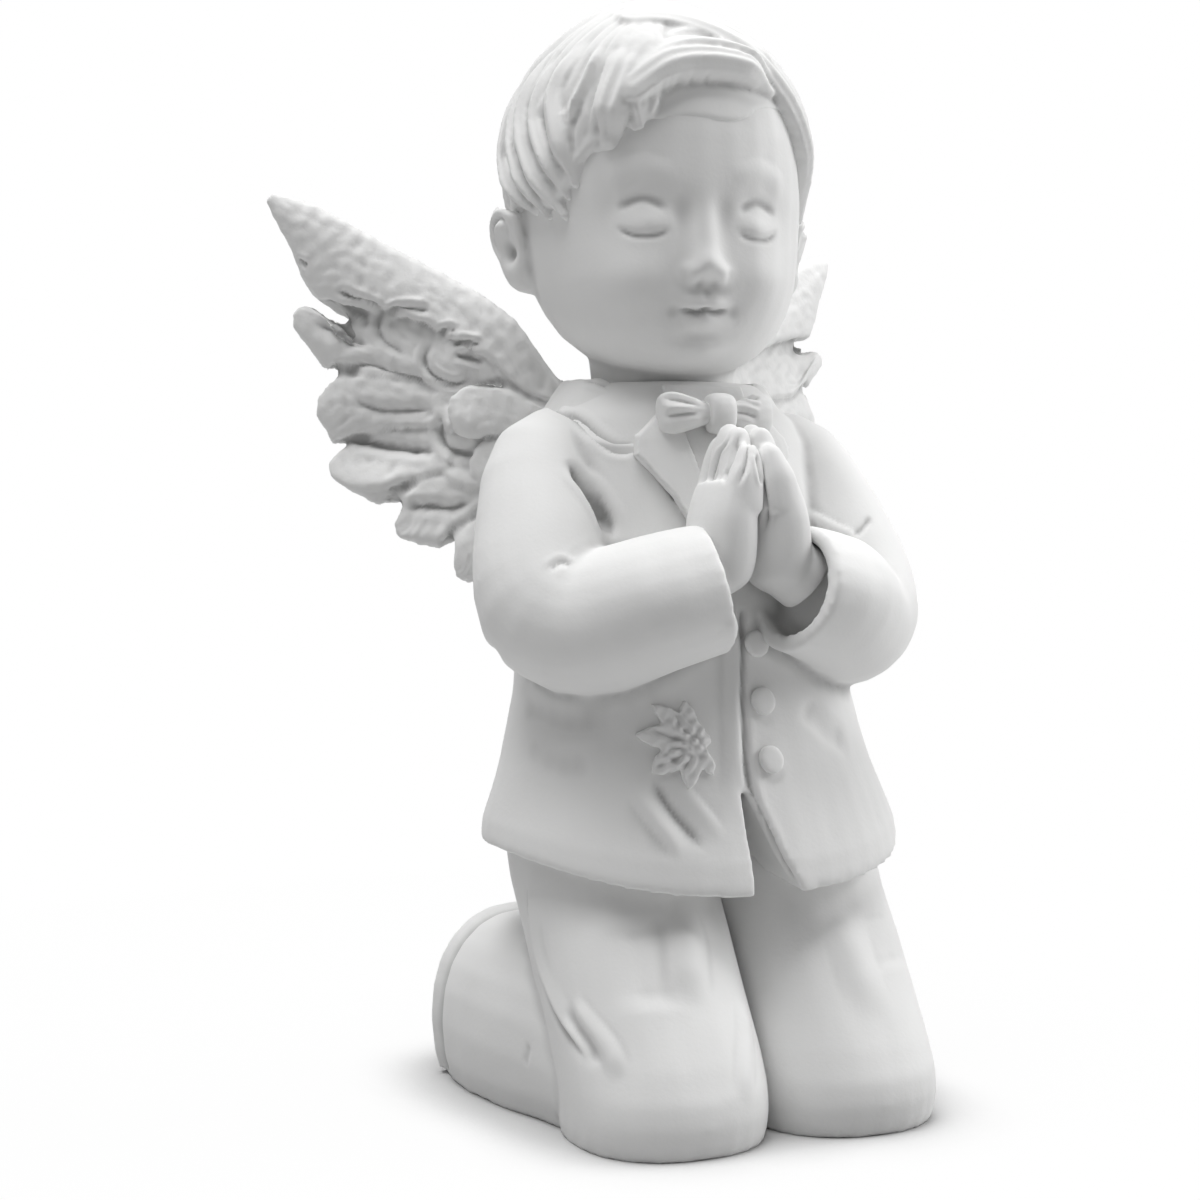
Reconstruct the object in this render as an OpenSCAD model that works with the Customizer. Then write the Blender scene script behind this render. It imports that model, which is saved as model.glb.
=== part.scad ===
// Kneeling angel figurine in cast resin: a boy in a suit with his hands together and wings on his back.
// Millimetres, +Z up. The figure faces -Y, so its right side is -X.
// The origin is on the floor, under the middle of the jacket's hem.

/* [Fit] */
// Glue line left between two castings
glue_gap = 0.15; // [0.05:0.05:0.3]

/* [Trousers and shoes] */
// Width over both knees
knees_w = 51; // [47:1:55]
// Front of the knees, measured forward from the origin
knee_front = 29; // [27:1:32]
// Depth of a knee, front to back
knee_d = 27; // [24:1:30]
// Depth of both thighs where they enter the jacket
hip_d = 29; // [26:1:31]
// Height of the calves above the floor
calf_h = 24; // [21:1:26]
// Width of one calf
calf_w = 27; // [24:1:29]
// Trouser hems, measured back from the origin
trouser_end = 26; // [23:1:29]
// How far the shoes stand out behind the trouser hems
shoe_l = 8; // [6:1:11]
// Width of one shoe
shoe_w = 20; // [17:1:23]
// Height of the shoes above the floor
shoe_h = 22; // [19:1:24]

/* [Jacket] */
// Height of the jacket's hem at the sides and the back
hem_z = 36; // [33:1:38]
// How much lower the hem is in the middle of the front
hem_drop = 5; // [3:1:7]
// Width of the jacket at the hem
hem_w = 58; // [55:1:61]
// Depth of the jacket at the hem
hem_d = 45; // [43:1:49]
// Height of the waist
waist_z = 56; // [53:1:59]
// Width of the jacket at the waist
waist_w = 48; // [45:1:51]
// Depth of the jacket at the waist
waist_d = 35; // [33:1:38]
// Height of the chest
chest_z = 74; // [71:1:77]
// Width of the jacket at the chest
chest_w = 44; // [41:1:47]
// Depth of the jacket at the chest
chest_d = 32; // [30:1:35]
// Height of the shoulders, measured down from the jacket's neck opening
shoulder_z = 8; // [6.5:0.5:10]
// Width of the jacket across the shoulders, without the sleeves
shoulder_w = 40; // [37:1:43]
// Depth of the jacket at the shoulders
shoulder_d = 28; // [25:1:31]
// Height of the jacket's neck opening
neckline_z = 98; // [96.5:0.5:99]
// How far the body leans back, in degrees
lean = 8; // [6:0.5:10]
// Depth of the trouser socket in the jacket
socket_h = 10; // [7:1:13]
// Thickness of the lapels and the collar
cloth_t = 1.4; // [1:0.1:2]
// Width of the jacket's opening at the hem
opening_w = 8; // [6:0.5:10.5]
// Height of the jacket's opening
opening_h = 18; // [14:1:20]
// Diameter of a jacket button
button_d = 3.6; // [3:0.2:4.4]
// Distance between the buttons
button_pitch = 7.5; // [6:0.5:8.5]
// Length of a leaf in the sprig on the jacket
leaf_l = 7; // [6:0.1:8]
// Width of a leaf in the sprig on the jacket
leaf_w = 3.2; // [2.6:0.1:3.8]

/* [Arms and hands] */
// Middle of an elbow, measured sideways from the middle
elbow_x = 23; // [21.5:0.5:24.5]
// Middle of an elbow, measured forward from the origin
elbow_front = 4.5; // [3:0.5:6]
// Height of the middle of an elbow
elbow_z = 66; // [64:0.5:68]
// Thickness of a sleeve at the elbow
elbow_d = 19; // [17.5:0.5:21]
// Middle of a cuff, measured sideways from the middle
cuff_x = 6; // [5.5:0.5:7]
// Middle of a cuff, measured forward from the origin
cuff_front = 16.5; // [15.5:0.5:18]
// Height of the middle of a cuff
cuff_z = 70.5; // [68.5:0.5:72.5]
// Thickness of a sleeve at the cuff
cuff_d = 16.5; // [15.5:0.5:18]
// Depth of the hollow in the end of a sleeve
cuff_hollow = 4; // [3:0.5:5]
// Wall of a sleeve at the cuff
cuff_wall = 1.8; // [1.4:0.1:2.2]
// Height of the fingertips, measured down from the jacket's neck opening
fingertip_z = 6; // [4:0.5:8]
// Fingertips, measured forward from the origin
fingertip_front = 14; // [13:0.5:15.5]
// Breadth of a hand across the knuckles
hand_w = 12; // [11:0.5:13]
// Thickness of one hand
hand_t = 7.6; // [7:0.2:8.2]

/* [Head] */
// Height of the chin, measured up from the jacket's neck opening
chin_z = 1; // [0.5:0.5:3]
// Height of the head from chin to crown, without the hair
head_h = 48; // [45:0.5:50]
// Width of the head
head_w = 39; // [36:0.5:41]
// Depth of the head
head_d = 40; // [37:0.5:43]
// Middle of the head, measured back from the origin
head_back = 11.5; // [10:0.5:13]
// How far the head is turned to its right, in degrees
head_turn = 8; // [0:1:15]
// Diameter of the neck
neck_d = 20; // [18:0.5:22]
// Depth of the neck's socket in the jacket
neck_socket = 5; // [3:0.5:7]
// Thickness of the hair over the skull
hair_t = 3; // [2.4:0.1:3.6]
// Width of a lock of hair
lock_w = 6; // [5:0.25:7]
// Height of an ear
ear_h = 11.5; // [10:0.5:13]

/* [Bow tie] */
// Width of the bow tie
bow_w = 16.5; // [14:0.5:18]
// Height of the bow tie's ends
bow_h = 5.4; // [4.8:0.2:6]

/* [Wings] */
// Reach of a wing from its root to its tip
wing_reach = 46.5; // [42:0.5:49]
// Height of the right wing's tip
right_tip_z = 126; // [122:1:129]
// Height of the left wing's tip
left_tip_z = 121; // [117:1:125]
// Height of the lowest feathers
wing_low_z = 73; // [71:1:76]
// How far the wings are swept back, in degrees
wing_sweep = 32; // [27:1:37]
// Thickness of a wing at its root
wing_t = 8; // [6.5:0.5:9]

/* [Hidden] */
RIGHT = -1;
LEFT = 1;
far = 200;
resin = "whitesmoke";

// Curves and skins

function spline_point(p, i, t) =
    let (
        n = len(p) - 1,
        a = p[max(i - 1, 0)],
        b = p[i],
        c = p[min(i + 1, n)],
        d = p[min(i + 2, n)])
    0.5 * (2 * b + (c - a) * t + (2 * a - 5 * b + 4 * c - d) * t * t
        + (3 * b - a - 3 * c + d) * t * t * t);
function spline(p, steps) =
    [for (i = [0 : len(p) - 2], k = [0 : steps - 1]) spline_point(p, i, k / steps), p[len(p) - 1]];
function unit(v) = v / norm(v);
function power_of(v, e) = sign(v) * pow(abs(v), e);
function mean(points) = [for (p = points) 1] * points / len(points);
function blend(a, b, t) = a + (b - a) * t;

// A level oval ring, squarer as its power grows.
function oval(c, rx, ry, power, sides) =
    [for (k = [0 : sides - 1]) let (a = 360 * k / sides)
        c + [rx * power_of(cos(a), 2 / power), ry * power_of(sin(a), 2 / power), 0]];

// A ring across a path: a is its half size along side, b its half size across that.
function ring(c, along, side, a, b, power, sides) =
    let (u = unit(cross(cross(along, side), along)), v = unit(cross(along, u)))
    [for (k = [0 : sides - 1]) let (t = 360 * k / sides)
        c + u * a * power_of(cos(t), 2 / power) + v * b * power_of(sin(t), 2 / power)];

// A closed skin over rings that all have the same number of points.
module skin(rings) {
    n = len(rings[0]);
    last = len(rings) - 1;
    ends = n * len(rings);
    polyhedron(
        points = concat([for (r = rings) each r], [mean(rings[0])], [mean(rings[last])]),
        faces = concat(
            [for (i = [0 : last - 1], k = [0 : n - 1])
                [i * n + k, (i + 1) * n + k, (i + 1) * n + (k + 1) % n]],
            [for (i = [0 : last - 1], k = [0 : n - 1])
                [i * n + k, (i + 1) * n + (k + 1) % n, i * n + (k + 1) % n]],
            [for (k = [0 : n - 1]) [ends, k, (k + 1) % n]],
            [for (k = [0 : n - 1]) [ends + 1, last * n + (k + 1) % n, last * n + k]]));
}

// A limb along stations of [x, y, z, half size along side, half size across it].
module limb(stations, side, power = 2, sides = 18, steps = 3, grow = 0) {
    s = spline(stations, steps);
    last = len(s) - 1;
    skin([for (i = [0 : last])
        let (p = s[i], q = s[min(i + 1, last)] - s[max(i - 1, 0)])
        ring([p[0], p[1], p[2]], [q[0], q[1], q[2]], side, p[3] + grow, p[4] + grow, power, sides)]);
}

// Several forms as one casting with one skin.
module casting() {
    resize([0, 0, 0]) children();
}

// The half of space above a height.
module above(z) {
    translate([-far, -far, z]) cube(2 * far);
}

// The half of space behind a distance along Y.
module behind(y) {
    translate([-far, y, -far]) cube(2 * far);
}

// The left half of space, half a glue line away from the middle.
module left_half() {
    translate([glue_gap / 2, -far, -far]) cube(2 * far);
}

// Pieces are drawn for the left side and mirrored for the right.
module on_side(side) {
    mirror([side < 0 ? 1 : 0, 0, 0]) children();
}

// Trousers and shoes

leg_x = knees_w / 4;
leg_rx = knees_w / 4 + 0.4;
knee_y = knee_d / 2 - knee_front;
hip_y = 2;
hip_z = hem_z + socket_h;
calf_x = leg_x + 3.5;

// Thigh and knee of the left leg, from under the floor up into the jacket.
module thigh(grow = 0) {
    under = 3;
    knee_r = knee_d / 2;
    hip_r = hip_d / 2;
    stations = spline([
        [-under, knee_y, 0.8 * leg_rx, 0.76 * knee_r],
        [0, knee_y, 0.96 * leg_rx, 0.96 * knee_r],
        [7, knee_y, leg_rx, knee_r],
        [blend(7, hem_z, 0.45), blend(knee_y, hip_y, 0.45), leg_rx, blend(knee_r, hip_r, 0.6)],
        [hem_z, hip_y, 0.98 * leg_rx, hip_r],
        [hip_z + grow, hip_y + 1, 0.78 * leg_rx, 0.9 * hip_r]], 3);
    skin([for (s = stations) oval([leg_x, s[1], s[0]], s[2] + grow, s[3] + grow, 2.3, 28)]);
}

// Calf of the left leg, lying back along the floor to the trouser hem. Over the origin it meets the other.
module calf(grow = 0) {
    mid = 0.34 * calf_h;
    rise = calf_h - mid;
    half = calf_w / 2;
    past = trouser_end + 4;
    limb([
        [leg_x, knee_y - 2, 0.9 * mid, 0.8 * half, 0.76 * rise],
        [leg_x, blend(knee_y, past, 0.36), mid, 1.08 * half, 0.98 * rise],
        [calf_x, blend(knee_y, past, 0.66), mid, half, rise],
        [calf_x, past, mid, 0.84 * half, 0.9 * rise]],
        [1, 0, 0], 2.3, 24, 3, grow);
}

module leg_form(grow = 0) {
    thigh(grow);
    calf(grow);
}

module trouser_leg(side) {
    color(resin) on_side(side) casting() intersection() {
        difference() {
            leg_form();
            behind(trouser_end);
        }
        above(0);
        left_half();
    }
}

module shoe(side) {
    mid = 0.36 * shoe_h;
    rise = shoe_h - mid;
    half = shoe_w / 2;
    color(resin) on_side(side) casting() intersection() {
        limb([
            [calf_x, trouser_end - 6, mid, 0.9 * half, 0.9 * rise],
            [calf_x, trouser_end + 0.3 * shoe_l, mid, half, rise],
            [calf_x, trouser_end + 0.8 * shoe_l, mid, 0.86 * half, 0.9 * rise],
            [calf_x, trouser_end + shoe_l, mid, 0.6 * half, 0.66 * rise]],
            [1, 0, 0], 2.4, 22, 3);
        above(0);
        behind(trouser_end + glue_gap);
    }
}

// Jacket

hem_y = 1;
function lean_y(z) = hem_y + (z - hem_z) * tan(lean);

shoulder_top = neckline_z - shoulder_z;

// Sections of the jacket from hem to neckline: height, half width and half depth.
sections = spline([
    [hem_z, hem_w / 2, hem_d / 2],
    [blend(hem_z, waist_z, 0.15), blend(hem_w, waist_w, 0.04) / 2, blend(hem_d, waist_d, 0.04) / 2],
    [blend(hem_z, waist_z, 0.55), blend(hem_w, waist_w, 0.6) / 2, blend(hem_d, waist_d, 0.6) / 2],
    [waist_z, waist_w / 2, waist_d / 2],
    [chest_z, chest_w / 2, chest_d / 2],
    [shoulder_top, shoulder_w / 2, shoulder_d / 2],
    [blend(shoulder_top, neckline_z, 0.62), 0.8 * neck_d, 0.63 * neck_d],
    [neckline_z, 0.62 * neck_d, 0.57 * neck_d]], 2);
function half_depth(z) = lookup(z, [for (s = sections) [s[0], s[2]]]);
function front_y(z) = lean_y(z) - half_depth(z);

module jacket_form(grow = 0) {
    skin([for (s = sections)
        let (fade = pow(max(0, (waist_z - s[0]) / (waist_z - hem_z)), 1.5))
        [for (p = oval([0, lean_y(s[0]), s[0]], s[1] + grow, s[2] + grow, 2.25, 44))
            p - [0, 0, hem_drop * fade * pow(max(0, (lean_y(s[0]) - p[1]) / (s[2] + grow)), 2)]]]);
}

placket_x = -2.4;

// The gap where the left front swings away from the right one, from the last button to the hem.
module front_opening() {
    low = hem_z - hem_drop - 1;
    top = low + opening_h;
    steps = 6;
    left_edge = [for (k = [0 : steps]) let (f = k / steps)
        [placket_x + opening_w * pow(f, 1.2), blend(top, low, f)]];
    front_block(concat([[placket_x, low]], left_edge));
}

module jacket() {
    color(resin) casting() difference() {
        jacket_form();
        for (side = [RIGHT, LEFT]) on_side(side) leg_form(glue_gap);
        front_opening();
        neck_form(glue_gap);
    }
}

// Sleeves

shoulder = [shoulder_w / 2 - 1.5, lean_y(shoulder_top) - 1, shoulder_top - 4];
elbow = [elbow_x, -elbow_front, elbow_z];
cuff = [cuff_x, -cuff_front, cuff_z];
arm_side = unit(cross(elbow - shoulder, cuff - elbow));
forearm = blend(elbow, cuff, 0.6) - [0, 0.16 * cuff_d, 0];
cuff_out = unit(cuff - forearm);

module arm_form(grow = 0) {
    elbow_r = elbow_d / 2;
    cuff_r = cuff_d / 2;
    function at(p, a, b) = [p[0], p[1], p[2], a, b];
    limb([
        at(shoulder + [-7, 0, 3], 6, 5),
        at(shoulder, 8.6, 8),
        at(blend(shoulder, elbow, 0.5) + [1, 0.5, 0], elbow_r, 0.95 * elbow_r),
        at(blend(shoulder, elbow, 0.88) + [0.5, 0.5, 0], elbow_r, elbow_r),
        at(blend(elbow, cuff, 0.22) - [0, 0, 1], 0.98 * elbow_r, elbow_r),
        at(forearm, blend(elbow_r, cuff_r, 0.6), blend(elbow_r, cuff_r, 0.6)),
        at(cuff, cuff_r, cuff_r)],
        arm_side, 2.1, 22, 3, grow);
}

// The hollow in the end of a sleeve that the hand comes out of.
module cuff_hole() {
    inside = cuff_d / 2 - cuff_wall;
    skin([for (t = [-cuff_hollow, -0.7 * cuff_hollow, 2 * cuff_hollow])
        let (r = t == -cuff_hollow ? 0.8 * inside : inside)
        ring(cuff + cuff_out * t, cuff_out, arm_side, r, r, 2.1, 22)]);
}

module sleeve(side) {
    color(resin) on_side(side) casting() intersection() {
        difference() {
            arm_form();
            jacket_form(glue_gap);
            cuff_hole();
            hand_form(glue_gap);
        }
        left_half();
    }
}

// Hands

wrist = [0, 1 - cuff_front, cuff_z];
fingertip = [0, -fingertip_front, neckline_z - fingertip_z];
hand_up = unit(fingertip - wrist);
hand_l = norm(fingertip - wrist);
hand_across = unit(cross(hand_up, [1, 0, 0]));

// A station in the left hand: out from the palms, across towards the thumb, up from the wrist.
function in_hand(out, across, up, a, b) =
    let (p = wrist + [out, 0, 0] + hand_across * across + hand_up * up) [p[0], p[1], p[2], a, b];

// The wrist comes out of the cuff and ends inside the palm.
module wrist_form(grow = 0) {
    r = 0.36 * hand_w;
    start = cuff - 0.7 * cuff_hollow * cuff_out + [0, 0, 0.08 * cuff_d];
    limb([[start[0], start[1], start[2], r, r], in_hand(0.5 * hand_t, 0, 0.2 * hand_l, r, r)],
        arm_side, 2, 16, 1, grow);
}

module palm(grow = 0) {
    half = hand_t / 2;
    breadth = hand_w / 2;
    limb([
        in_hand(1.05 * half, 0, -0.02 * hand_l, 0.4 * half, 0.4 * breadth),
        in_hand(1.08 * half, 0, 0.05 * hand_l, 0.86 * half, 0.74 * breadth),
        in_hand(1.08 * half, 0, 0.2 * hand_l, 1.06 * half, 0.92 * breadth),
        in_hand(half, 0, 0.42 * hand_l, half, breadth),
        in_hand(0.8 * half, 0, 0.62 * hand_l, 0.8 * half, 0.9 * breadth)],
        [1, 0, 0], 2.2, 18, 3, grow);
}

module finger(across, reach, r, grow = 0) {
    limb([
        in_hand(0.38 * hand_t, across, 0.46 * hand_l, 0.36 * hand_t, r),
        in_hand(0.32 * hand_t, across, 0.64 * hand_l, 0.32 * hand_t, 1.04 * r),
        in_hand(0.26 * hand_t, 0.9 * across, 0.84 * reach, 0.26 * hand_t, r),
        in_hand(0.2 * hand_t, 0.82 * across, reach - 0.5 * r, 0.19 * hand_t, 0.72 * r),
        in_hand(0.18 * hand_t, 0.8 * across, reach, 0.06 * hand_t, 0.24 * r)],
        [1, 0, 0], 2, 9, 2, grow);
}

module thumb(grow = 0) {
    r = hand_t / 3.2;
    limb([
        in_hand(0.5 * hand_t, 0.15 * hand_w, 0.1 * hand_l, r, r),
        in_hand(0.55 * hand_t, 0.3 * hand_w, 0.28 * hand_l, r, r),
        in_hand(0.5 * hand_t, 0.36 * hand_w, 0.46 * hand_l, 0.9 * r, 0.9 * r),
        in_hand(0.42 * hand_t, 0.36 * hand_w, 0.6 * hand_l, 0.3 * r, 0.3 * r)],
        [1, 0, 0], 2, 9, 2, grow);
}

// Share of the hand's length that each finger reaches, from the little finger to the first.
finger_reach = [0.86, 0.97, 1, 0.94];

module hand_form(grow = 0) {
    pitch = hand_w / 4.2;
    wrist_form(grow);
    palm(grow);
    thumb(grow);
    for (k = [0 : 3]) finger((k - 1.5) * pitch, finger_reach[k] * hand_l, 0.58 * pitch, grow);
}

module hand(side) {
    color(resin) on_side(side) casting() intersection() {
        difference() {
            hand_form();
            jacket_form(2 * glue_gap + cloth_t);
        }
        left_half();
    }
}

// Cloth that lies on the jacket

// A plate of even thickness on the jacket, where the children's block meets it.
module on_jacket(thickness) {
    casting() intersection() {
        difference() {
            jacket_form(glue_gap + thickness);
            jacket_form(glue_gap);
            for (side = [RIGHT, LEFT]) on_side(side) arm_form(glue_gap);
        }
        children();
    }
}

// A block through the jacket's front with an outline drawn in X and Z.
module front_block(points) {
    rotate([90, 0, 0]) linear_extrude(far) polygon(points);
}

lapel_x = 0.3 * neck_d;
lapel_top_z = neckline_z - 0.15 * neck_d;
lapel_low_z = chest_z + 0.05 * neck_d;
lapel_end_z = chest_z - 0.2 * neck_d;
notch_x = lapel_x + 0.25 * neck_d;
notch_z = shoulder_top + 0.02 * neck_d;
shirt_t = 0.6 * cloth_t;

module shirt_front() {
    top = neckline_z - 0.03 * neck_d;
    edge = lapel_x - glue_gap;
    end = 0.02 * neck_d;
    color(resin) on_jacket(shirt_t) front_block([[-edge, top], [edge, top], [edge, lapel_top_z],
        [end, lapel_low_z], [-end, lapel_low_z], [-edge, lapel_top_z]]);
}

module lapel(side) {
    inside = 0.03 * neck_d;
    color(resin) on_side(side) on_jacket(cloth_t) front_block([[lapel_x, lapel_top_z],
        [notch_x, notch_z], [notch_x + 0.02 * neck_d, notch_z - 0.12 * neck_d],
        [lapel_x + 0.05 * neck_d, notch_z - 0.4 * neck_d],
        [inside, lapel_end_z], [inside, lapel_low_z]]);
}

// Collar: a band folded down round the neck, open in front and cut for the lapels.
module collar_block(grow = 0) {
    round = 36;
    gap = 1.5 * glue_gap;
    difference() {
        translate([0, lean_y(neckline_z), shoulder_top - 0.3 * neck_d]) linear_extrude(far) difference() {
            scale([1.2, 1]) circle(d = 1.65 * neck_d + 2 * grow, $fn = round);
            circle(d = 1.05 * neck_d - 2 * grow, $fn = round);
        }
        for (side = [RIGHT, LEFT]) on_side(side) front_block([[-1, far], [lapel_x + gap, far],
            [lapel_x + gap, lapel_top_z + gap], [notch_x + gap, notch_z + gap],
            [notch_x + gap, 0], [-1, 0]]);
    }
}

module collar() {
    color(resin) on_jacket(cloth_t) collar_block();
}

// Bow tie: two ends that lie on the shirt, and the knot between them.
bow_z = neckline_z - 0.83 * bow_h;
bow_y = front_y(bow_z) - cloth_t - 0.22 * bow_h;
knot_w = 0.63 * bow_h;

module over_cloth() {
    casting() difference() {
        children();
        jacket_form(2 * glue_gap + cloth_t);
        skull_form(glue_gap);
    }
}

module bow_tie() {
    from = knot_w / 2 + glue_gap;
    to = bow_w / 2;
    half = bow_h / 2;
    color(resin) for (side = [RIGHT, LEFT]) on_side(side) over_cloth() limb([
        [from, bow_y, bow_z, 0.5 * half, 0.44 * half],
        [blend(from, to, 0.3), bow_y, bow_z, 0.72 * half, 0.63 * half],
        [blend(from, to, 0.65), bow_y + 0.22 * half, bow_z, half, 0.74 * half],
        [blend(from, to, 0.9), bow_y + 0.33 * half, bow_z, 0.96 * half, 0.63 * half],
        [to, bow_y + 0.33 * half, bow_z, 0.76 * half, 0.37 * half]],
        [0, 0, 1], 2.4, 14, 3);
}

module bow_tie_knot() {
    y = bow_y - 0.07 * bow_h;
    color(resin) over_cloth() limb([
        [-knot_w / 2, y, bow_z, 0.42 * bow_h, 0.3 * bow_h],
        [-knot_w / 4, y, bow_z, 0.48 * bow_h, 0.39 * bow_h],
        [knot_w / 4, y, bow_z, 0.48 * bow_h, 0.39 * bow_h],
        [knot_w / 2, y, bow_z, 0.42 * bow_h, 0.3 * bow_h]],
        [0, 0, 1], 2.4, 16, 2);
}

// Buttons down the left front, with their backs on the jacket.
button_x = 0.75 * button_d;
last_button_z = hem_z - hem_drop + opening_h - 1;

module jacket_buttons() {
    color(resin) on_jacket(0.7 * cloth_t) for (k = [0 : 2])
        translate([button_x, 0, last_button_z + k * button_pitch]) rotate([90, 0, 0])
            cylinder(d = button_d, h = far, $fn = 28);
}

// A sprig on the right front: leaves that fan out beside a blossom.
sprig = [-0.16 * waist_w, waist_z - 5];

module leaf_outline() {
    steps = 6;
    polygon([for (k = [0 : steps]) [leaf_l * k / steps, leaf_w / 2 * sin(180 * k / steps)],
        for (k = [steps - 1 : -1 : 1]) [leaf_l * k / steps, -leaf_w / 2 * sin(180 * k / steps)]]);
}

module leaf_sprig() {
    blossom_d = 1.2 * leaf_w;
    color(resin) on_jacket(0.5 * cloth_t) translate([sprig[0], 0, sprig[1]]) rotate([90, 0, 0])
        linear_extrude(far) {
            for (k = [0 : 5]) rotate(100 + 38 * k) translate([0.2 * blossom_d, 0])
                scale(0.6 + 0.4 * sin(36 * k)) leaf_outline();
            for (a = [0 : 72 : 288]) rotate(a) translate([0.28 * blossom_d, 0])
                circle(d = 0.5 * blossom_d, $fn = 12);
        }
}

// Head

chin_top = neckline_z + chin_z;

module head_place() {
    translate([0, head_back, chin_top]) rotate(-head_turn) children();
}

// The head from chin to crown. Each station is height, middle along Y, half width and half depth.
skull = let (rx = head_w / 2, ry = head_d / 2) spline([
    [0, -0.4 * ry, 0.2 * rx, 0.22 * ry],
    [0.03 * head_h, -0.36 * ry, 0.46 * rx, 0.44 * ry],
    [0.12 * head_h, -0.24 * ry, 0.76 * rx, 0.7 * ry],
    [0.26 * head_h, -0.1 * ry, 0.93 * rx, 0.88 * ry],
    [0.42 * head_h, -0.02 * ry, 0.98 * rx, 0.97 * ry],
    [0.58 * head_h, 0.02 * ry, rx, ry],
    [0.74 * head_h, 0.04 * ry, 0.95 * rx, 0.97 * ry],
    [0.88 * head_h, 0.06 * ry, 0.76 * rx, 0.8 * ry],
    [0.97 * head_h, 0.06 * ry, 0.4 * rx, 0.44 * ry],
    [head_h, 0.06 * ry, 0.12 * rx, 0.14 * ry]], 2);

module skull_form(grow = 0) {
    head_place() skin([for (s = skull)
        oval([0, s[1], s[0] + grow * (2 * s[0] / head_h - 1)], s[2] + grow, s[3] + grow, 2.15, 32)]);
}

module neck_form(grow = 0) {
    foot = neckline_z - neck_socket;
    top = chin_top + 0.2 * head_h;
    y = lean_y(neckline_z);
    skin([for (s = [[foot - grow, y, 0], [neckline_z, y, 0], [top, y + 0.5, 1]])
        oval([0, s[1], s[0]], neck_d / 2 + s[2] + grow, neck_d / 2 + s[2] + grow, 2, 26)]);
}

module head() {
    color(resin) casting() {
        skull_form();
        neck_form();
    }
}

// Hair: a cap with combed locks, cut back round the face, over the ears and at the nape.
nape = 0.2 * head_h;
ear_z = 0.38 * head_h;
ear_y = 0.0625 * head_d;
hair_over_ear = ear_z + 0.4 * ear_h;
hair_behind_ear = ear_y + 0.35 * ear_h;

// All that the hair leaves free below it.
module bare_head() {
    face_w = 0.8 * head_w;
    brow = 0.7 * head_h;
    corner = 6;
    head_place() {
        rotate([90, 0, 0]) linear_extrude(far) offset(r = corner, $fn = 24)
            square([face_w - 2 * corner, 2 * (brow - corner)], center = true);
        translate([-far, hair_behind_ear - 2 * far, hair_over_ear - 2 * far]) cube(2 * far);
        translate([-far, -far, nape - 2 * far]) cube(2 * far);
    }
}

// Places on the head are [degrees round from the face to the left, degrees up from the brow].
parting = [[-24, 38], [-30, 60], [-60, 80], [180, 66]];
right_hairline = [[-24, 16], [-50, 1], [-70, -21], [-90, -6], [-118, -30], [-150, -41], [-180, -43]];
left_hairline = [[50, 16], [68, -10], [76, -20], [92, -6], [122, -32], [152, -41], [180, -43]];
quiff = [[-26, 29], [-11, 38], [8, 40], [27, 36], [46, 24]];
side_locks = 7;
brow_z = 0.56 * head_h;
skull_reach = [for (s = skull) let (d = [(s[2] + s[3]) / 2, s[0] - brow_z]) [atan2(d[1], d[0]), norm(d)]];

function way(place) = [sin(place[0]) * cos(place[1]), -cos(place[0]) * cos(place[1]), sin(place[1])];
function way_along(row, f) =
    let (s = f * (len(row) - 1), i = min(floor(s), len(row) - 2))
    blend(way(row[i]), way(row[i + 1]), s - i);
// The place under the hair's outside in a direction from the middle of the head.
function in_hair(v, depth) =
    let (u = unit(v)) [0, 0, brow_z] + u * (lookup(asin(u[2]), skull_reach) + hair_t - depth);

// A lock along directions from its root to its tip.
module lock(ways) {
    last = len(ways) - 1;
    limb([for (i = [0 : last])
        let (p = in_hair(ways[i], 0.37 * lock_w), r = lock_w / 2 * (0.6 + 0.4 * sin(180 * i / last)))
        [p[0], p[1], p[2], r, r]],
        unit(cross(ways[0], ways[last])), 2, 6, 1);
}

// Locks combed from the parting to the hairline on both sides, and one across the brow.
module locks() {
    for (hairline = [right_hairline, left_hairline], k = [0 : side_locks - 1]) {
        f = (k + 0.5) / side_locks;
        root = way_along(parting, f);
        tip = way_along(hairline, f);
        lock([for (t = [0.08 : 0.22 : 0.96]) blend(root, tip, t)]);
    }
    lock([for (place = quiff) way(place)]);
}

module hair() {
    color(resin) casting() difference() {
        union() {
            skull_form(0.5 * hair_t);
            intersection() {
                skull_form(hair_t);
                head_place() locks();
            }
        }
        skull_form(glue_gap);
        bare_head();
    }
}

// Ears: shells on the sides of the head, in front of the hair.
module ear(side) {
    // A station, all of it in shares of the ear's height
    function at(out, back, up, a, b) =
        [head_w / 2 + out * ear_h, ear_y + back * ear_h, ear_z + up * ear_h, a * ear_h, b * ear_h];
    color(resin) casting() difference() {
        head_place() on_side(side) limb([
            at(-0.17, -0.22, -0.5, 0.12, 0.09),
            at(0, -0.12, -0.36, 0.165, 0.19),
            at(0.105, -0.02, 0, 0.165, 0.3),
            at(0.155, 0.07, 0.3, 0.165, 0.35),
            at(0.12, 0.05, 0.5, 0.105, 0.175)],
            [1, 0, 0], 2.2, 14, 3);
        skull_form(glue_gap);
        difference() {
            skull_form(hair_t + glue_gap);
            bare_head();
        }
    }
}

// Wings

wing_root_z = blend(chest_z, shoulder_top, 0.8);
wing_root_y = lean_y(wing_root_z) + half_depth(wing_root_z) - 1;
wing_root_x = 6;
wing_out = [cos(wing_sweep), sin(wing_sweep), 0];
wing_back = [-sin(wing_sweep), cos(wing_sweep), 0];

// A station of the left wing: out from the root, back from its face, height, half height, half depth.
function in_wing(out, back, z, a, b) =
    let (p = [wing_root_x, wing_root_y, z] + wing_out * out + wing_back * back) [p[0], p[1], p[2], a, b];

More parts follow.
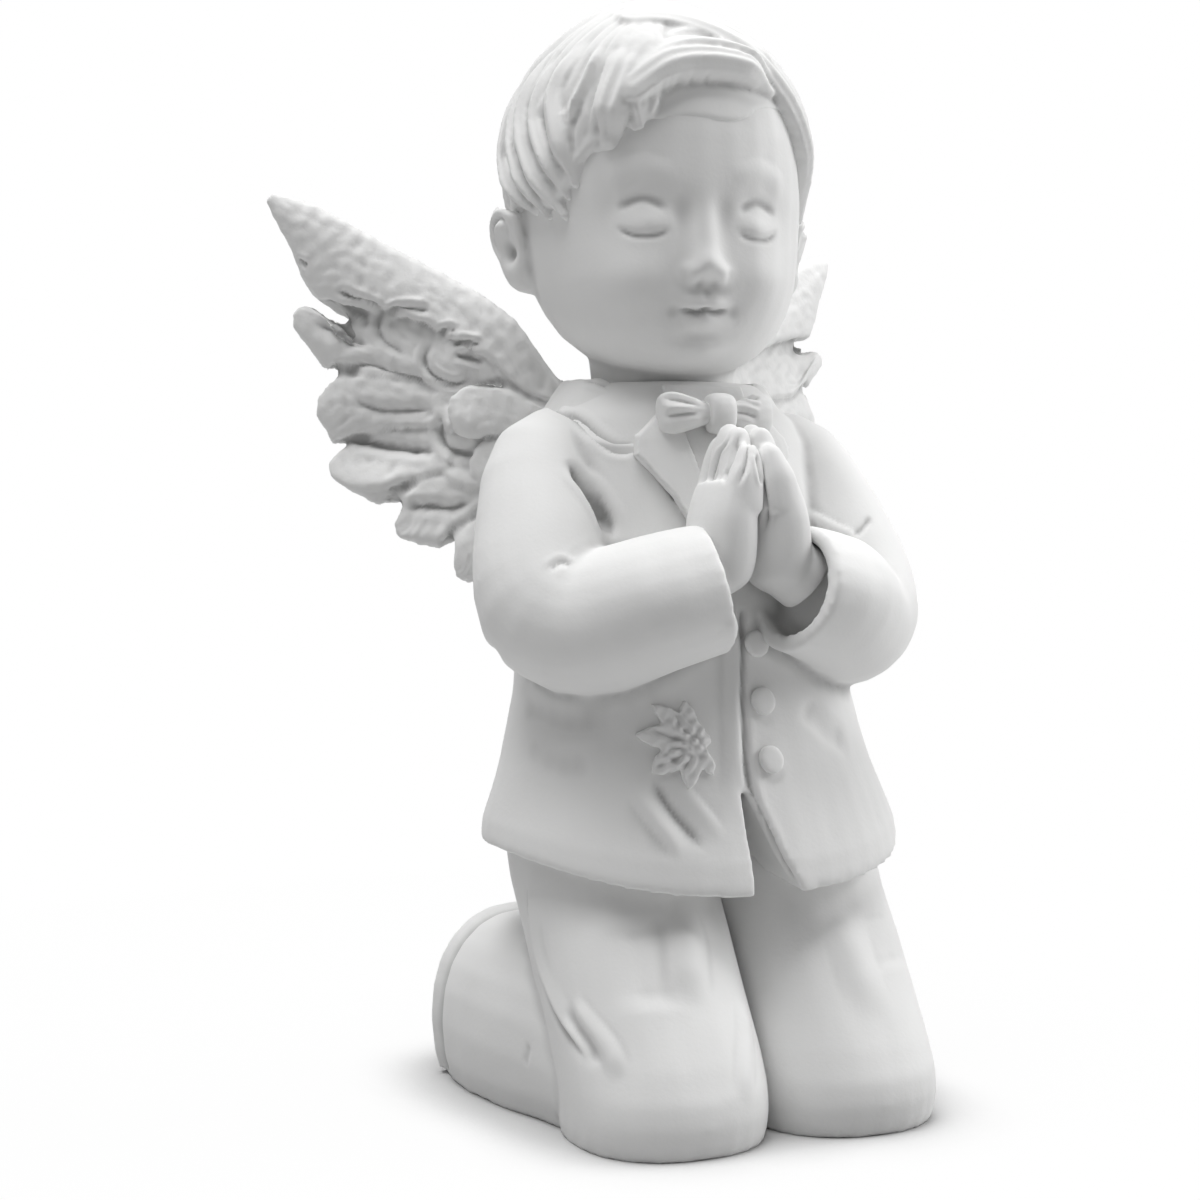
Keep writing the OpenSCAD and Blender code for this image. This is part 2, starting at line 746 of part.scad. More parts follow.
// A feather from a foot to a tip, both as [out, height], widest near its round tip.
module feather(foot, tip, w, t, back) {
    d = tip - foot;
    n = unit([-d[1], d[0]]);
    bow = 0.25 * norm(d);
    function at(f, k, j) =
        let (q = foot + d * f + n * bow * f * (1 - f))
        in_wing(q[0], back - 3 * f, q[1], k * w / 2, j * t / 2);
    limb([at(0, 0.7, 1), at(0.35, 0.95, 1), at(0.7, 1, 0.9), at(0.9, 0.72, 0.75), at(1, 0.2, 0.4)],
        wing_out * n[0] + [0, 0, n[1]], 2, 8, 2);
}

module wing_form(tip_z) {
    flight_feathers = 5;
    covert_feathers = 3;
    // Leading edge, out to the tip
    limb([
        in_wing(-4, -1, wing_root_z - 4, 7, 0.5 * wing_t),
        in_wing(3, 0, wing_root_z + 4, 9, 0.5 * wing_t),
        in_wing(0.32 * wing_reach, 0, blend(wing_root_z, tip_z, 0.42), 7.5, 0.42 * wing_t),
        in_wing(0.62 * wing_reach, -1, blend(wing_root_z, tip_z, 0.66), 6, 0.34 * wing_t),
        in_wing(0.88 * wing_reach, -2, blend(wing_root_z, tip_z, 0.9), 3.4, 0.26 * wing_t),
        in_wing(wing_reach, -2.4, tip_z, 0.8, 0.12 * wing_t)],
        [0, 0, 1], 2, 12, 3);
    // Flight feathers, fanned down from the tip to the lowest
    for (k = [1 : flight_feathers]) {
        f = k / flight_feathers;
        feather([blend(7, 0, f), blend(wing_root_z + 10, wing_root_z - 8, f)],
            [wing_reach * (0.93 - 0.48 * f * f), blend(tip_z - 6, wing_low_z, pow(f, 0.7))],
            blend(0.28, 0.225, f) * wing_reach, 0.4 * wing_t, -0.5 * k);
    }
    // Short feathers over the root
    for (k = [0 : covert_feathers - 1])
        feather([1, wing_root_z + 4 - 4 * k],
            [0.42 * wing_reach - 3 * k, wing_root_z + 9 - 9 * k], 9, 0.35 * wing_t, -2);
}

module wing(side) {
    color(resin) on_side(side) casting() intersection() {
        difference() {
            wing_form(side < 0 ? right_tip_z : left_tip_z);
            jacket_form(glue_gap);
            arm_form(glue_gap);
            intersection() {
                jacket_form(2 * glue_gap + cloth_t);
                collar_block(glue_gap);
            }
            on_side(side) skull_form(hair_t + glue_gap);
        }
        left_half();
    }
}

trouser_leg(RIGHT);  // right_trouser_leg
trouser_leg(LEFT);  // left_trouser_leg
shoe(RIGHT);  // right_shoe
shoe(LEFT);  // left_shoe
jacket();
sleeve(RIGHT);  // right_sleeve
sleeve(LEFT);  // left_sleeve
hand(RIGHT);  // right_hand
hand(LEFT);  // left_hand
shirt_front();
lapel(RIGHT);  // right_lapel
lapel(LEFT);  // left_lapel
collar();
bow_tie();
bow_tie_knot();
jacket_buttons();
leaf_sprig();
head();
hair();
ear(RIGHT);  // right_ear
ear(LEFT);  // left_ear
wing(RIGHT);  // right_wing
wing(LEFT);  // left_wing
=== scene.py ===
"""Looks of the kneeling angel figurine: one matte white resin casting, sculpted over the CAD solids.

Shapes are worked out in millimetres and handed to the scene in metres. The figure faces -Y and its
right side is -X. Strokes that the photograph shows are given in its pixels and land on the surface
that the fitted camera sees there.
"""

import logging
import math
from dataclasses import dataclass
from enum import Enum
from typing import Iterable, Sequence

import bmesh
import bpy
import numpy as np
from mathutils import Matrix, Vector
from mathutils.bvhtree import BVHTree


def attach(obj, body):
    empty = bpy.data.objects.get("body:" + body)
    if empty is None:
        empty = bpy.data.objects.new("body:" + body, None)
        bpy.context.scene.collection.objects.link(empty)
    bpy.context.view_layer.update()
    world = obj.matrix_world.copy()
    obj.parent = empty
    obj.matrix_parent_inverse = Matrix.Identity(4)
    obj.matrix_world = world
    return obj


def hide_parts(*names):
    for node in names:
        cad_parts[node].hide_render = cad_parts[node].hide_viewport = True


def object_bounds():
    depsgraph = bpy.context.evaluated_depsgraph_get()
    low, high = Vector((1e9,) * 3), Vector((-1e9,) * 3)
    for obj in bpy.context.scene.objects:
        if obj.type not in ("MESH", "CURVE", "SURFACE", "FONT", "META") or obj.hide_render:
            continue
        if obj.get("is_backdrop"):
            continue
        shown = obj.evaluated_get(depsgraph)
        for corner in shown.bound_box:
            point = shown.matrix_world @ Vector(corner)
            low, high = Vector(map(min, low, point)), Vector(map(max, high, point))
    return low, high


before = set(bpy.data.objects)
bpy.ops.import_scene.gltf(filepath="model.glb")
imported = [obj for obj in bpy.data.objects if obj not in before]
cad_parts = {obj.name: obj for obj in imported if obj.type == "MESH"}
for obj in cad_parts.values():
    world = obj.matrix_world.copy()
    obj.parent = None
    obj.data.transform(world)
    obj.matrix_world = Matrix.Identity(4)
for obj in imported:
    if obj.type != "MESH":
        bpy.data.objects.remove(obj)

log = logging.getLogger("figurine")
MM = 0.001
BODY = "root"

Pixel = tuple[float, float]
Pair = tuple[float, float]
Degrees = Pair
Humps = tuple[float, float, int]
Trail = tuple[tuple[float, ...], ...]
Feeds = dict[int | str, object]
Point = tuple[float, float, float]
Array = np.ndarray


class Profile(Enum):
    """Cross-section of a sculpting stroke."""

    SOFT = "soft"
    CREASE = "crease"
    STEP = "step"


class Side(Enum):
    """A side of the figure, as the sign of its X."""

    RIGHT = -1
    LEFT = 1

    @property
    def word(self) -> str:
        """The side's name, as the nodes spell it."""
        return self.name.lower()


def unit(vector: Array) -> Array:
    """The vector, or each row of vectors, at length one."""
    return vector / np.maximum(np.linalg.norm(vector, axis=-1, keepdims=True), 1e-9)


def smoothstep(low: float, high: float, values: Array) -> Array:
    """A soft ramp from 0 at low to 1 at high."""
    t = np.clip((values - low) / (high - low), 0, 1)
    return t * t * (3 - 2 * t)


def curve_through(points: Iterable[Sequence[float]], steps: int = 6) -> Array:
    """A smooth curve through a few points.

    Args:
        points: Points in two or three dimensions.
        steps: Pieces that each span between two points is cut into.

    Returns:
        The curve's points, one per row.
    """
    p = np.array(list(points), float)
    p = np.vstack([2 * p[0] - p[1], p, 2 * p[-1] - p[-2]])
    rows = []
    for a, b, c, d in zip(p, p[1:], p[2:], p[3:]):
        for t in np.arange(steps) / steps:
            rows.append(0.5 * (2 * b + (c - a) * t + (2 * a - 5 * b + 4 * c - d) * t**2
                               + (3 * b - a - 3 * c + d) * t**3))
    return np.array(rows + [p[-2]])


def hang(data: bpy.types.ID, place: Sequence[float], aim: Sequence[float]) -> bpy.types.Object:
    """Puts a camera or a lamp in the scene.

    Args:
        data: The camera or the lamp.
        place: Where it hangs, in metres.
        aim: The direction that it points in.

    Returns:
        Its object.
    """
    made = bpy.data.objects.new(data.name, data)
    made.location = place
    made.rotation_mode = "QUATERNION"
    made.rotation_quaternion = Vector(aim).to_track_quat("-Z", "Y")
    bpy.context.scene.collection.objects.link(made)
    return made


@dataclass(frozen=True)
class PhotoCamera:
    """The camera that fits the photograph's view, in millimetres and degrees."""

    azimuth: float = -25.0
    distance: float = 300.0
    side: float = -13.0
    eye_height: float = 82.0
    aim_height: float = 68.3
    view_width: float = 164.4
    sensor: float = 36.0
    pixels: int = 1200
    clip: Pair = (0.01, 20.0)

    @property
    def right(self) -> Array:
        """Level direction to the picture's right."""
        a = math.radians(self.azimuth)
        return np.array((math.cos(a), math.sin(a), 0.0))

    @property
    def eye(self) -> Array:
        """The place of the camera."""
        a = math.radians(self.azimuth)
        back = np.array((math.sin(a), -math.cos(a), 0.0))
        return back * self.distance + self.right * self.side + np.array((0, 0, self.eye_height))

    @property
    def forward(self) -> Array:
        """The direction that the camera looks in."""
        return unit(self.right * self.side + np.array((0, 0, self.aim_height)) - self.eye)

    def ray(self, pixel: Pixel) -> Array:
        """Looks through a pixel of the photograph.

        Args:
            pixel: Across and down, from the upper left corner.

        Returns:
            The direction from the eye.
        """
        focal = self.pixels * self.distance / self.view_width
        up = np.cross(self.right, self.forward)
        across, down = (np.array(pixel) - self.pixels / 2) / focal
        return unit(self.forward + self.right * across - up * down)

    def seen(self, tree: BVHTree, pixel: Pixel) -> Vector | None:
        """The point of a skin that the photograph shows at a pixel, if there is one."""
        return tree.ray_cast(Vector(self.eye), Vector(self.ray(pixel)))[0]

    def place(self) -> None:
        """Makes the scene's camera."""
        data = bpy.data.cameras.new("photo_camera")
        data.sensor_width = self.sensor
        data.lens = self.sensor * self.distance / self.view_width
        data.clip_start, data.clip_end = self.clip
        bpy.context.scene.camera = hang(data, self.eye * MM, self.forward)


CAMERA = PhotoCamera()


@dataclass(frozen=True)
class Stroke:
    """A groove, or a ridge where its depth is under zero, along pixels or points of the surface.

    A step raises the bank that lies to the right of a path that runs down the picture.
    """

    path: Trail
    width: float
    depth: float
    profile: Profile = Profile.SOFT
    lip: float = 0.0
    taper: float = 0.25
    mirrored: bool = False


def crease(path: Trail, width: float, depth: float, lip: float = 0.0, taper: float = 0.25) -> Stroke:
    """A stroke with a sharp bottom."""
    return Stroke(path, width, depth, Profile.CREASE, lip, taper)


class Clay:
    """A dense closed skin over CAD solids that is sculpted in code, in millimetres."""

    def __init__(self, name: str, mesh: bpy.types.Mesh) -> None:
        """Takes over a mesh made in millimetres.

        Args:
            name: Name of the finished piece.
            mesh: Closed mesh of the rough form.
        """
        self.name = name
        self.mesh = mesh
        self.points = np.empty((len(mesh.vertices), 3), np.float32)
        mesh.vertices.foreach_get("co", self.points.ravel())
        self.points = self.points.astype(float)
        self.edges = np.empty((len(mesh.edges), 2), np.int32)
        mesh.edges.foreach_get("vertices", self.edges.ravel())
        self.degree = np.bincount(self.edges.ravel(), minlength=len(self.points)).astype(float)
        self.refresh()

    @classmethod
    def cast(cls, name: str, forms: bmesh.types.BMesh, voxel: float, rounds: int = 12) -> "Clay":
        """Melts overlapping closed forms into one skin.

        Args:
            name: Name of the finished piece.
            forms: Closed forms in millimetres; they are used up.
            voxel: Size of the new skin's squares.
            rounds: Rounds of smoothing that take the steps out of the new skin.

        Returns:
            The clay, ready for sculpting.
        """
        rough = bpy.data.meshes.new(name + "_rough")
        forms.to_mesh(rough)
        forms.free()
        holder = bpy.data.objects.new(name + "_rough", rough)
        bpy.context.scene.collection.objects.link(holder)
        remesh = holder.modifiers.new("melt", "REMESH")
        remesh.mode = "VOXEL"
        remesh.voxel_size = voxel
        graph = bpy.context.evaluated_depsgraph_get()
        mesh = bpy.data.meshes.new_from_object(holder.evaluated_get(graph))
        bpy.data.objects.remove(holder)
        bpy.data.meshes.remove(rough)
        clay = cls(name, mesh)
        clay.melt(rounds, pulls=(0.5, -0.52))
        return clay

    def recast(self, name: str, voxel: float, rounds: int) -> "Clay":
        """Melts the sculpted skin into an even new one, and uses it up.

        Args:
            name: Name of the finished piece.
            voxel: Size of the new skin's squares.
            rounds: Rounds of smoothing that take the steps out of the new skin.

        Returns:
            The new skin.
        """
        self.refresh()
        forms = bmesh.new()
        forms.from_mesh(self.mesh)
        bpy.data.meshes.remove(self.mesh)
        return Clay.cast(name, forms, voxel, rounds)

    def refresh(self) -> None:
        """Works out the normals again after the points have moved."""
        self.mesh.vertices.foreach_set("co", self.points.astype(np.float32).ravel())
        self.mesh.update()
        normals = np.empty(len(self.points) * 3, np.float32)
        self.mesh.vertex_normals.foreach_get("vector", normals)
        self.normals = normals.reshape(-1, 3).astype(float)

    def neighbours(self, values: Array) -> Array:
        """Averages a value over each vertex's neighbours.

        Args:
            values: The value, in one or more columns.

        Returns:
            The means, in the same shape.
        """
        table = values.reshape(len(values), -1)
        a, b = self.edges.T
        sums = [np.bincount(a, column[b], len(values)) + np.bincount(b, column[a], len(values))
                for column in table.T]
        return (np.stack(sums, 1) / self.degree[:, None]).reshape(values.shape)

    def melt(self, rounds: int, mask: Array | float = 1.0, pulls: Sequence[float] = (0.5,)) -> None:
        """Smooths the skin, and lets it shrink into soft fillets.

        Args:
            rounds: Rounds of smoothing.
            mask: Share of the smoothing that each vertex takes.
            pulls: How far a round pulls each vertex to its neighbours; a second pull, back, keeps the size.
        """
        share = np.broadcast_to(mask, len(self.points))[:, None]
        for _ in range(rounds):
            for pull in pulls:
                self.points += share * pull * (self.neighbours(self.points) - self.points)
        self.refresh()

    def tree(self) -> BVHTree:
        """A search tree of the skin as it is now."""
        faces = [tuple(p.vertices) for p in self.mesh.polygons]
        return BVHTree.FromPolygons([tuple(p) for p in self.points], faces)

    def lay(self, path: Iterable[Sequence[float]], tree: BVHTree, mirrored: bool = False) -> Array:
        """Lays a path on the skin.

        Args:
            path: Pixels of the photograph, or points near the skin.
            tree: Search tree of the skin.
            mirrored: True lays it on the figure's other side.

        Returns:
            Points on the skin, one per row.
        """
        rows = []
        for p in curve_through(path):
            if len(p) == 2:
                hit = CAMERA.seen(tree, tuple(p))
            else:
                hit = tree.find_nearest(Vector(p))[0]
            if hit is not None and mirrored:
                hit = tree.find_nearest(Vector((-hit.x, hit.y, hit.z)))[0]
            if hit is not None:
                rows.append(hit)
        return np.array(rows, float).reshape(-1, 3)

    def draw(self, strokes: Iterable[Stroke]) -> None:
        """Draws strokes on the skin.

        Args:
            strokes: Strokes in the order that they are drawn.
        """
        tree = self.tree()
        for stroke in strokes:
            for mirrored in (False, True) if stroke.mirrored else (False,):
                path = self.lay(stroke.path, tree, mirrored)
                if len(path) > 1:
                    self.carve(path, stroke)
        self.refresh()

    def near(self, path: Array, reach: float) -> tuple[Array, Array, Array, Array]:
        """Finds the vertices near a path.

        Args:
            path: Points of the path.
            reach: How near a vertex has to be.

        Returns:
            Their numbers, their distances, how far along the path each lies, from 0 to 1, and the
            bank that each lies on, as 1 or -1.
        """
        inside = ((self.points > path.min(0) - reach) & (self.points < path.max(0) + reach)).all(1)
        found = np.flatnonzero(inside)
        p = self.points[found]
        best = np.full(len(found), np.inf)
        along = np.zeros(len(found))
        bank = np.ones(len(found))
        lengths = np.linalg.norm(np.diff(path, axis=0), axis=1)
        start = np.concatenate([[0], np.cumsum(lengths)])
        for i, (a, b) in enumerate(zip(path, path[1:])):
            d = b - a
            t = np.clip((p - a) @ d / max(d @ d, 1e-9), 0, 1)
            offset = p - a - t[:, None] * d
            away = np.linalg.norm(offset, axis=1)
            closer = away < best
            best[closer] = away[closer]
            along[closer] = (start[i] + t[closer] * lengths[i]) / max(start[-1], 1e-9)
            across = np.cross(self.normals[found], d)
            bank[closer] = np.where((across * offset).sum(1) > 0, 1.0, -1.0)[closer]
        close = best < reach
        return found[close], best[close], along[close], bank[close]

    def carve(self, path: Array, stroke: Stroke) -> None:
        """Moves the skin along one path.

        Args:
            path: Points on the skin.
            stroke: Width, depth and cross-section; a lip raises both banks by that share.
        """
        reach = stroke.width * (2 if stroke.lip else 1)
        found, away, along, bank_side = self.near(path, reach)
        x = away / stroke.width
        inner = np.clip(1 - x, 0, 1)
        if stroke.profile is Profile.CREASE:
            weight = inner**1.6
        elif stroke.profile is Profile.STEP:
            foot = np.clip(1 - 2 * x, 0, 1) ** 1.5
            weight = np.where(bank_side > 0, -(inner**1.4) * smoothstep(0, 0.18, x), 0.6 * foot)
        else:
            weight = (1 - np.clip(x, 0, 1) ** 2) ** 2
        bank = stroke.lip * np.where((x > 0.7) & (x < 2), np.sin((x - 0.7) / 1.3 * math.pi) ** 2, 0)
        ends = np.minimum(along, 1 - along)
        move = stroke.depth * smoothstep(0, stroke.taper, ends) * (bank - weight)
        self.points[found] += self.normals[found] * move[:, None]

    def swell(self, centre: Sequence[float], radii: Sequence[float], amount: float,
              direction: Sequence[float] | None = None, turn: Array | None = None) -> None:
        """Raises or presses a soft oval place.

        Args:
            centre: Middle of the place.
            radii: Its reach along each axis.
            amount: How far it is raised; under zero presses it in.
            direction: Direction of the move; the skin's own normal if left out.
            turn: Rows of the axes that the radii lie along; the world's if left out.
        """
        offset = self.points - np.array(centre, float)
        if turn is not None:
            offset = offset @ turn.T
        weight = np.exp(-((offset / np.array(radii, float)) ** 2).sum(1))
        along = self.normals if direction is None else np.array(direction, float)
        self.points += (amount * weight)[:, None] * along

    def belt(self, place: float, width: float, height: float) -> None:
        """Raises a rounded belt, or cuts a groove, right round the form at one distance along Y.

        Args:
            place: The distance along Y.
            width: Half the belt's width.
            height: The belt's height; under zero for a groove.
        """
        weight = np.exp(-(((self.points[:, 1] - place) / width) ** 2)) * (self.points[:, 2] > width)
        self.points += self.normals * (height * weight)[:, None]
        self.refresh()

    def ripple(self, size: float, height: float, seed: int) -> None:
        """Gives the skin the slight unevenness of a hand-finished master.

        Args:
            size: Distance from one hump to the next.
            height: Height of a hump.
            seed: Picks one of many patterns.
        """
        rng = np.random.default_rng(seed)
        total = np.zeros(len(self.points))
        waves = 14
        for _ in range(waves):
            way = unit(rng.normal(size=3)) * 2 * math.pi / size * rng.uniform(0.6, 1.5)
            total += np.sin(self.points @ way + rng.uniform(0, 2 * math.pi))
        self.points += self.normals * (height * total / math.sqrt(waves))[:, None]
        self.refresh()

    def cavity(self) -> Array:
        """Finds the recesses of the skin.

        Returns:
            How deep each vertex lies in one, from 0 in the open to 1.
        """
        full_depth = 0.35
        soft = self.points.copy()
        for _ in range(18):
            soft += 0.6 * (self.neighbours(soft) - soft)
        depth = ((soft - self.points) * self.normals).sum(1) / full_depth
        return np.clip(depth, 0, 1)

    def finish(self, resin: "ResinFinish", *nodes: str) -> None:
        """Turns the clay into a finished piece of the figure.

        Args:
            resin: The piece's finish.
            nodes: CAD nodes that it stands for.
        """
        self.points[:, 2] = np.maximum(self.points[:, 2], 0.0)
        self.refresh()
        # The cavity attribute drives the painted shade in the recesses of the finish.
        hollow = self.mesh.attributes.new("cavity", "FLOAT", "POINT")
        hollow.data.foreach_set("value", self.cavity().astype(np.float32))
        self.mesh.vertices.foreach_set("co", (self.points * MM).astype(np.float32).ravel())
        self.mesh.name = self.name
        self.mesh.materials.clear()
        self.mesh.materials.append(resin.material())
        self.mesh.shade_smooth()
        self.mesh.update()
        piece = bpy.data.objects.new(self.name, self.mesh)
        bpy.context.scene.collection.objects.link(piece)
        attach(piece, BODY)
        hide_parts(*nodes)
        log.info("%s: %d faces", self.name, len(self.mesh.polygons))


def solids(*nodes: str, grow: float = 0.0) -> bmesh.types.BMesh:
    """Copies CAD nodes as merged closed forms.

    Args:
        nodes: Names of the nodes.
        grow: How far the skins are moved outwards, in millimetres.

    Returns:
        The forms in millimetres.
    """
    forms = bmesh.new()
    for node in nodes:
        copy = bmesh.new()
        copy.from_mesh(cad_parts[node].data)
        bmesh.ops.remove_doubles(copy, verts=copy.verts, dist=0.002 * MM)
        bmesh.ops.scale(copy, verts=copy.verts, vec=Vector((1, 1, 1)) / MM)
        copy.normal_update()
        shifts = [v.normal * grow for v in copy.verts]
        for vertex, shift in zip(copy.verts, shifts):
            vertex.co += shift
        carrier = bpy.data.meshes.new("carrier")
        copy.to_mesh(carrier)
        copy.free()
        forms.from_mesh(carrier)
        bpy.data.meshes.remove(carrier)
    return forms


class Graph:
    """A node tree that is built one node after the other."""

    def __init__(self, tree: bpy.types.NodeTree) -> None:
        """Takes over a tree."""
        self.tree = tree

    def feed(self, node: bpy.types.Node, inputs: Feeds) -> bpy.types.Node:
        """Sets some inputs of a node.

        Args:
            node: The node.
            inputs: For an input's name or number, its value or the socket that it is linked to.

        Returns:
            The same node.
        """
        for key, value in inputs.items():
            if isinstance(value, bpy.types.NodeSocket):
                self.tree.links.new(value, node.inputs[key])
            else:
                node.inputs[key].default_value = value
        return node

    def add(self, kind: str, inputs: Feeds | None = None, **settings: object) -> bpy.types.Node:
        """Adds a node.

        Args:
            kind: The node's type.
            inputs: What its inputs are set or linked to.
            settings: Its other settings, which come first because the inputs can depend on them.

        Returns:
            The node.
        """
        node = self.tree.nodes.new(kind)
        for name, value in settings.items():
            setattr(node, name, value)
        return self.feed(node, inputs or {})

    def math(self, operation: str, first: object, second: object) -> bpy.types.NodeSocket:
        """The result of a sum on two inputs, each a number or a socket."""
        return self.add("ShaderNodeMath", {0: first, 1: second}, operation=operation).outputs[0]

    def seeing_rays(self) -> bpy.types.NodeSocket:
        """Tells the rays that see the background, straight, mirrored or through glass, from the light's.

        Returns:
            A socket that is 1 for those rays and 0 for the others.
        """
        path = self.add("ShaderNodeLightPath").outputs
        socket = path["Is Camera Ray"]
        for name in ("Is Glossy Ray", "Is Transmission Ray"):
            socket = self.math("MAXIMUM", socket, path[name])
        return socket


@dataclass(frozen=True)
class ResinFinish:
    """Matte white casting resin, a little chalky, with painted shade in its recesses.

    The grain's depth is in millimetres. Painted shade darkens the colour in the recesses to a share of it,
    and clouds of dust darken it a little in the open too.
    """

    name: str
    grain: float
    colour: Point = (0.83, 0.83, 0.825)
    dust_share: float = 0.5
    cloud_share: float = 0.12
    cloud_scale: float = 90.0
    grain_scale: float = 1500.0
    roughness: Pair = (0.52, 0.72)

    def chalk_group(self) -> bpy.types.ShaderNodeTree:
        """The shared effect: cloudy tone, painted shade in recesses and a fine grain.

        Returns:
            A node group that puts out a colour, a roughness and a height.
        """
        name = "chalky_resin"
        if name in bpy.data.node_groups:
            return bpy.data.node_groups[name]
        tree = bpy.data.node_groups.new(name, "ShaderNodeTree")
        for socket, way, kind in (("Clean", "INPUT", "Color"), ("Dusty", "INPUT", "Color"),
                                  ("Color", "OUTPUT", "Color"), ("Roughness", "OUTPUT", "Float"),
                                  ("Height", "OUTPUT", "Float")):
            tree.interface.new_socket(name=socket, in_out=way, socket_type="NodeSocket" + kind)
        graph = Graph(tree)
        inlet = graph.add("NodeGroupInput").outputs
        place = graph.add("ShaderNodeTexCoord").outputs["Object"]
        recess = graph.add("ShaderNodeAttribute", attribute_name="cavity").outputs["Fac"]
        noise = [{"Vector": place, "Scale": scale, "Detail": detail}
                 for scale, detail in ((self.cloud_scale, 4.0), (self.grain_scale, 3.0))]
        clouds, grain = (graph.add("ShaderNodeTexNoise", inputs).outputs["Fac"] for inputs in noise)
        # Painted shade: the cavity attribute darkens the colour in recesses, where shade falls; the clouds
        # add a faint dusty tone in the open.
        cloud_tone_and_painted_shade = graph.add("ShaderNodeMath", {0: clouds, 1: self.cloud_share, 2: recess},
                         operation="MULTIPLY_ADD", use_clamp=True).outputs[0]
        tone = graph.add("ShaderNodeMix", {"Factor": cloud_tone_and_painted_shade, "A": inlet["Clean"], "B": inlet["Dusty"]},
                         data_type="RGBA")
        low, high = self.roughness
        sheen = graph.add("ShaderNodeMapRange", {"Value": clouds, "To Min": low, "To Max": high})
        graph.add("NodeGroupOutput", {
            "Color": tone.outputs["Result"], "Roughness": sheen.outputs["Result"], "Height": grain})
        return tree

    def material(self) -> bpy.types.Material:
        """Makes the finish, or finds it where it was made before.

        Returns:
            The material.
        """
        if self.name in bpy.data.materials:
            return bpy.data.materials[self.name]
        made = bpy.data.materials.new(self.name)
        made.use_nodes = True
        graph = Graph(made.node_tree)
        # The darker colour that the painted recess shade and the dust clouds mix towards.
        dust_and_shade_colour = (*(c * self.dust_share for c in self.colour), 1)
        chalk = graph.add("ShaderNodeGroup", {"Clean": (*self.colour, 1), "Dusty": dust_and_shade_colour},
                          node_tree=self.chalk_group()).outputs
        bump = graph.add("ShaderNodeBump", {
            "Strength": 0.5, "Distance": self.grain * MM, "Height": chalk["Height"]})
        graph.feed(made.node_tree.nodes["Principled BSDF"], {
            "Specular IOR Level": 0.3, "Base Color": chalk["Color"], "Roughness": chalk["Roughness"],
            "Normal": bump.outputs["Normal"]})
        return made


SMOOTH_RESIN = ResinFinish("smooth_resin", 0.05)
ROUGH_RESIN = ResinFinish("rough_resin", 0.1)


@dataclass
class Trousers:
    """The two trouser legs, creased behind the knees, and the shoes behind them.

    The hem's ridge and groove and the shoe's welt are each a place along Y, half a width and a height.
    """

    voxel: float = 0.42
    foot_rise: Pair = (1.0, 5.0)
    hem: tuple[tuple[float, float, float], ...] = ((24.6, 1.0, 0.8), (22.4, 0.8, -0.4))
    welt: tuple[float, float, float] = (31.0, 0.5, -0.45)
    leg_humps: Humps = (11.0, 0.07, 3)
    shoe_humps: Humps = (4.5, 0.12, 4)
    folds: tuple[Stroke, ...] = (
        Stroke(((526, 874), (534, 947), (545, 986), (560, 1020), (580, 1051), (593, 1070)),
               3.4, 0.75, Profile.STEP),
        Stroke(((566, 1004), (577, 1026), (588, 1044), (597, 1070)), 1.6, 0.45),
        Stroke(((570, 1000), (591, 1026), (611, 1052), (620, 1082)), 1.9, -0.55),
        Stroke(((671, 900), (684, 932), (688, 965), (690, 1010)), 3.6, -0.9, taper=0.4),
        Stroke(((635, 912), (648, 960), (655, 1015)), 6.5, 0.6),
        Stroke(((742, 1000), (746, 1050), (744, 1105)), 2.2, -0.4),
        Stroke(((529, 1042), (527, 1052), (524, 1066)), 1.0, 0.2),
    )
    left_folds: tuple[Stroke, ...] = (
        Stroke(((24, 12, 34), (25.5, 6, 25), (26, 2, 20), (26, -3, 14), (25, -7, 9)), 3.0, 0.45),
        Stroke(((26, -2, 21), (26, -5, 16), (25.5, -9, 11)), 1.9, -0.4),
        Stroke(((13, -24, 32), (13.5, -27, 24), (13, -28.5, 16)), 4.0, -0.6, taper=0.4),
        Stroke(((20, -19, 30), (21, -22, 20)), 6.0, 0.4),
    )

    def build(self) -> None:
        """Sculpts the legs and the shoes."""
        for side in Side:
            name = f"{side.word}_trouser_leg"
            leg = Clay.cast(name, solids(name), self.voxel, 14)
            leg.melt(14, smoothstep(*self.foot_rise, leg.points[:, 2]))
            leg.draw(self.folds if side is Side.RIGHT else self.left_folds)
            for belt in self.hem:
                leg.belt(*belt)
            leg.ripple(*self.leg_humps)
            leg.finish(SMOOTH_RESIN, name)
            self.shoe(side)

    def shoe(self, side: Side) -> None:
        """Sculpts one shoe, with the welt round its sole.

        Args:
            side: The side that the shoe is on.
        """
        name = f"{side.word}_shoe"
        shoe = Clay.cast(name, solids(name, grow=0.1), 0.4)
        shoe.belt(*self.welt)
        shoe.ripple(*self.shoe_humps)
        shoe.finish(SMOOTH_RESIN, name)


